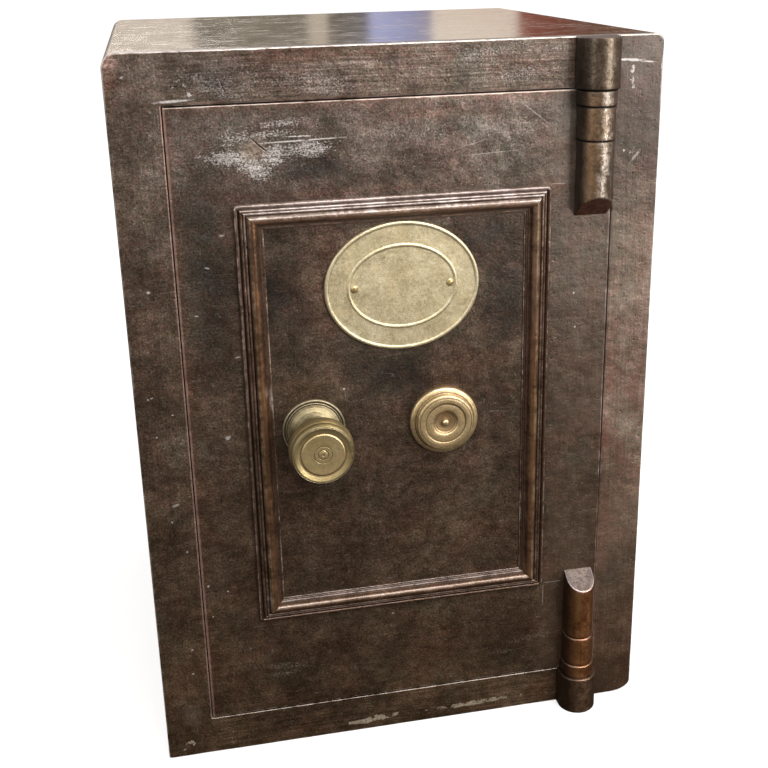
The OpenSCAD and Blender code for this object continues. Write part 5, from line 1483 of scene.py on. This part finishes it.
# ------------------------------------------------------------------ floor, light and camera


def emission(name, colour, strength):
    mat = bpy.data.materials.new(name)
    mat.use_nodes = True
    nt = mat.node_tree
    nt.nodes.clear()
    out = nt.nodes.new("ShaderNodeOutputMaterial")
    e = nt.nodes.new("ShaderNodeEmission")
    e.inputs[0].default_value = (*colour, 1)
    e.inputs[1].default_value = strength
    nt.links.new(e.outputs[0], out.inputs[0])
    return mat, nt, e, out


def plane(name, corners, mat):
    me = bpy.data.meshes.new(name)
    me.from_pydata(corners, [], [(0, 1, 2, 3)])
    ob = bpy.data.objects.new(name, me)
    me.materials.append(mat)
    scene.collection.objects.link(ob)
    return ob


floor_mat, nt, e, out = emission("floor_pale", (1.0, 0.998, 0.994), 1.0)
d = nt.nodes.new("ShaderNodeBsdfDiffuse")
d.inputs[0].default_value = (0.95, 0.948, 0.944, 1)
mx = nt.nodes.new("ShaderNodeMixShader")
mx.inputs[0].default_value = 0.35
nt.links.new(e.outputs[0], mx.inputs[1])
nt.links.new(d.outputs[0], mx.inputs[2])
nt.links.new(mx.outputs[0], out.inputs[0])
floor = plane("floor", [(-30, -30, -0.0002), (30, -30, -0.0002), (30, 30, -0.0002), (-30, 30, -0.0002)], floor_mat)
floor.visible_diffuse = False
floor.visible_glossy = False

# A banded reflector behind the safe, which only the polished top shows
card_mat, nt, e, out = emission("reflector", (1, 1, 1), 1.0)
tc = nt.nodes.new("ShaderNodeTexCoord")
sp = nt.nodes.new("ShaderNodeSeparateXYZ")
nt.links.new(tc.outputs["Object"], sp.inputs[0])
mr = nt.nodes.new("ShaderNodeMapRange")
mr.inputs[1].default_value, mr.inputs[2].default_value = -0.35, 0.85
nt.links.new(sp.outputs[0], mr.inputs[0])
cr = nt.nodes.new("ShaderNodeValToRGB")
BANDS = [
    (0.0, (0.58, 0.50, 0.42)), (0.205, (0.60, 0.52, 0.44)), (0.222, (0.13, 0.112, 0.08)), (0.30, (0.17, 0.15, 0.105)),
    (0.395, (0.15, 0.13, 0.095)), (0.408, (0.56, 0.48, 0.38)), (0.430, (0.56, 0.48, 0.38)), (0.440, (0.11, 0.09, 0.07)),
    (0.497, (0.13, 0.12, 0.13)), (0.512, (0.46, 0.50, 0.82)), (0.572, (0.31, 0.34, 0.60)), (0.607, (0.34, 0.32, 0.43)),
    (0.616, (0.88, 0.76, 0.64)), (0.758, (0.88, 0.76, 0.64)), (0.770, (0.24, 0.036, 0.022)), (0.83, (0.19, 0.045, 0.024)),
    (0.90, (0.13, 0.046, 0.020)), (1.0, (0.13, 0.056, 0.026)),
]
els = cr.color_ramp.elements
while len(els) < len(BANDS):
    els.new(0.5)
for k, (pos, col) in zip(els, BANDS):
    k.position = pos
    k.color = (*col, 1)
nt.links.new(mr.outputs[0], cr.inputs[0])
nt.links.new(cr.outputs[0], e.inputs[0])
card = plane("reflector_card", [(-1.9, 1.25, 0.60), (2.1, 1.25, 0.60), (2.1, 1.25, 1.05), (-1.9, 1.25, 1.05)], card_mat)
card.visible_camera = False
card.visible_diffuse = False
card.visible_shadow = False
card.visible_transmission = False


def softbox(name, at, to, sx, sy, power, colour=(1, 1, 1)):
    data = bpy.data.lights.new(name, "AREA")
    data.shape = "RECTANGLE"
    data.size, data.size_y, data.energy, data.color = sx, sy, power, colour
    ob = bpy.data.objects.new(name, data)
    scene.collection.objects.link(ob)
    at, to = Vector(at), Vector(to)
    ob.location = at
    ob.rotation_mode = "QUATERNION"
    ob.rotation_quaternion = (at - to).to_track_quat("Z", "Y")
    ob.visible_camera = False
    return ob


softbox("key", (0.60, -1.30, 1.82), (0.0, -0.2, 0.42), 1.9, 0.5, 46, (1.0, 0.97, 0.93))
softbox("side_fill", (1.40, -1.90, 0.80), (0.1, -0.2, 0.38), 1.0, 1.2, 36, (1.0, 0.965, 0.93))
softbox("left_fill", (-2.1, -1.9, 1.2), (0.0, -0.2, 0.35), 1.2, 1.2, 15, (0.95, 0.97, 1.0))
softbox("back_fill", (-0.6, 2.6, 1.9), (0.0, 0.2, 0.3), 1.4, 1.0, 22, (1.0, 0.98, 0.96))

world = bpy.data.worlds.new("studio")
scene.world = world
world.use_nodes = True
nt = world.node_tree
nt.nodes.clear()
wo = nt.nodes.new("ShaderNodeOutputWorld")
seen = nt.nodes.new("ShaderNodeBackground")
seen.inputs[0].default_value = (1.0, 0.998, 0.994, 1)
seen.inputs[1].default_value = 1.0
lit = nt.nodes.new("ShaderNodeBackground")
lit.inputs[1].default_value = 1.6
tcw = nt.nodes.new("ShaderNodeTexCoord")
spw = nt.nodes.new("ShaderNodeSeparateXYZ")
nt.links.new(tcw.outputs["Generated"], spw.inputs[0])
mrw = nt.nodes.new("ShaderNodeMapRange")
mrw.inputs[1].default_value, mrw.inputs[2].default_value = -1.0, 1.0
nt.links.new(spw.outputs[2], mrw.inputs[0])
crw = nt.nodes.new("ShaderNodeValToRGB")
SKY = [
    (0.0, (0.030, 0.021, 0.014)), (0.22, (0.038, 0.027, 0.018)), (0.30, (0.056, 0.041, 0.029)), (0.38, (0.10, 0.079, 0.062)),
    (0.44, (0.20, 0.170, 0.148)), (0.50, (0.36, 0.325, 0.300)), (0.60, (0.54, 0.51, 0.49)), (0.80, (0.84, 0.82, 0.80)), (1.0, (1.0, 0.985, 0.97)),
]
els = crw.color_ramp.elements
while len(els) < len(SKY):
    els.new(0.5)
for k, (pos, col) in zip(els, SKY):
    k.position = pos
    k.color = (*col, 1)
nt.links.new(mrw.outputs[0], crw.inputs[0])
nt.links.new(crw.outputs[0], lit.inputs[0])
lp = nt.nodes.new("ShaderNodeLightPath")
mxw = nt.nodes.new("ShaderNodeMixShader")
nt.links.new(lp.outputs["Is Camera Ray"], mxw.inputs[0])
nt.links.new(lit.outputs[0], mxw.inputs[1])
nt.links.new(seen.outputs[0], mxw.inputs[2])
nt.links.new(mxw.outputs[0], wo.inputs[0])

scene.view_settings.view_transform = "Standard"

# Camera solved from the photograph's perspective
f_px, cx_px, cy_px, rx, ry, rz = 1147.533, 395.0, 340.0, 0.33101, -0.20183, -0.02067
cx_, sx_, cy_, sy_, cz_, sz_ = math.cos(rx), math.sin(rx), math.cos(ry), math.sin(ry), math.cos(rz), math.sin(rz)
rot = (
    np.array([[cz_, -sz_, 0], [sz_, cz_, 0], [0, 0, 1]]) @ np.array([[1, 0, 0], [0, cx_, -sx_], [0, sx_, cx_]])
    @ np.array([[cy_, 0, sy_], [0, 1, 0], [-sy_, 0, cy_]]) @ np.array([[1, 0, 0], [0, 0, -1], [0, 1, 0]])
)
cam_data = bpy.data.cameras.new("camera")
cam = bpy.data.objects.new("camera", cam_data)
scene.collection.objects.link(cam)
m4 = Matrix.Identity(4)
for i in range(3):
    m4[i][0], m4[i][1], m4[i][2] = rot[0][i], -rot[1][i], -rot[2][i]
m4[0][3], m4[1][3], m4[2][3] = -0.18283, -1.08394, 0.67906
cam.matrix_world = m4
cam_data.sensor_width = 36.0
cam_data.lens = 36.0 * f_px / 768.0
cam_data.shift_x = -(cx_px - 384.0) / 768.0
cam_data.shift_y = (cy_px - 384.0) / 768.0
cam_data.clip_start, cam_data.clip_end = 0.05, 100.0
scene.camera = cam
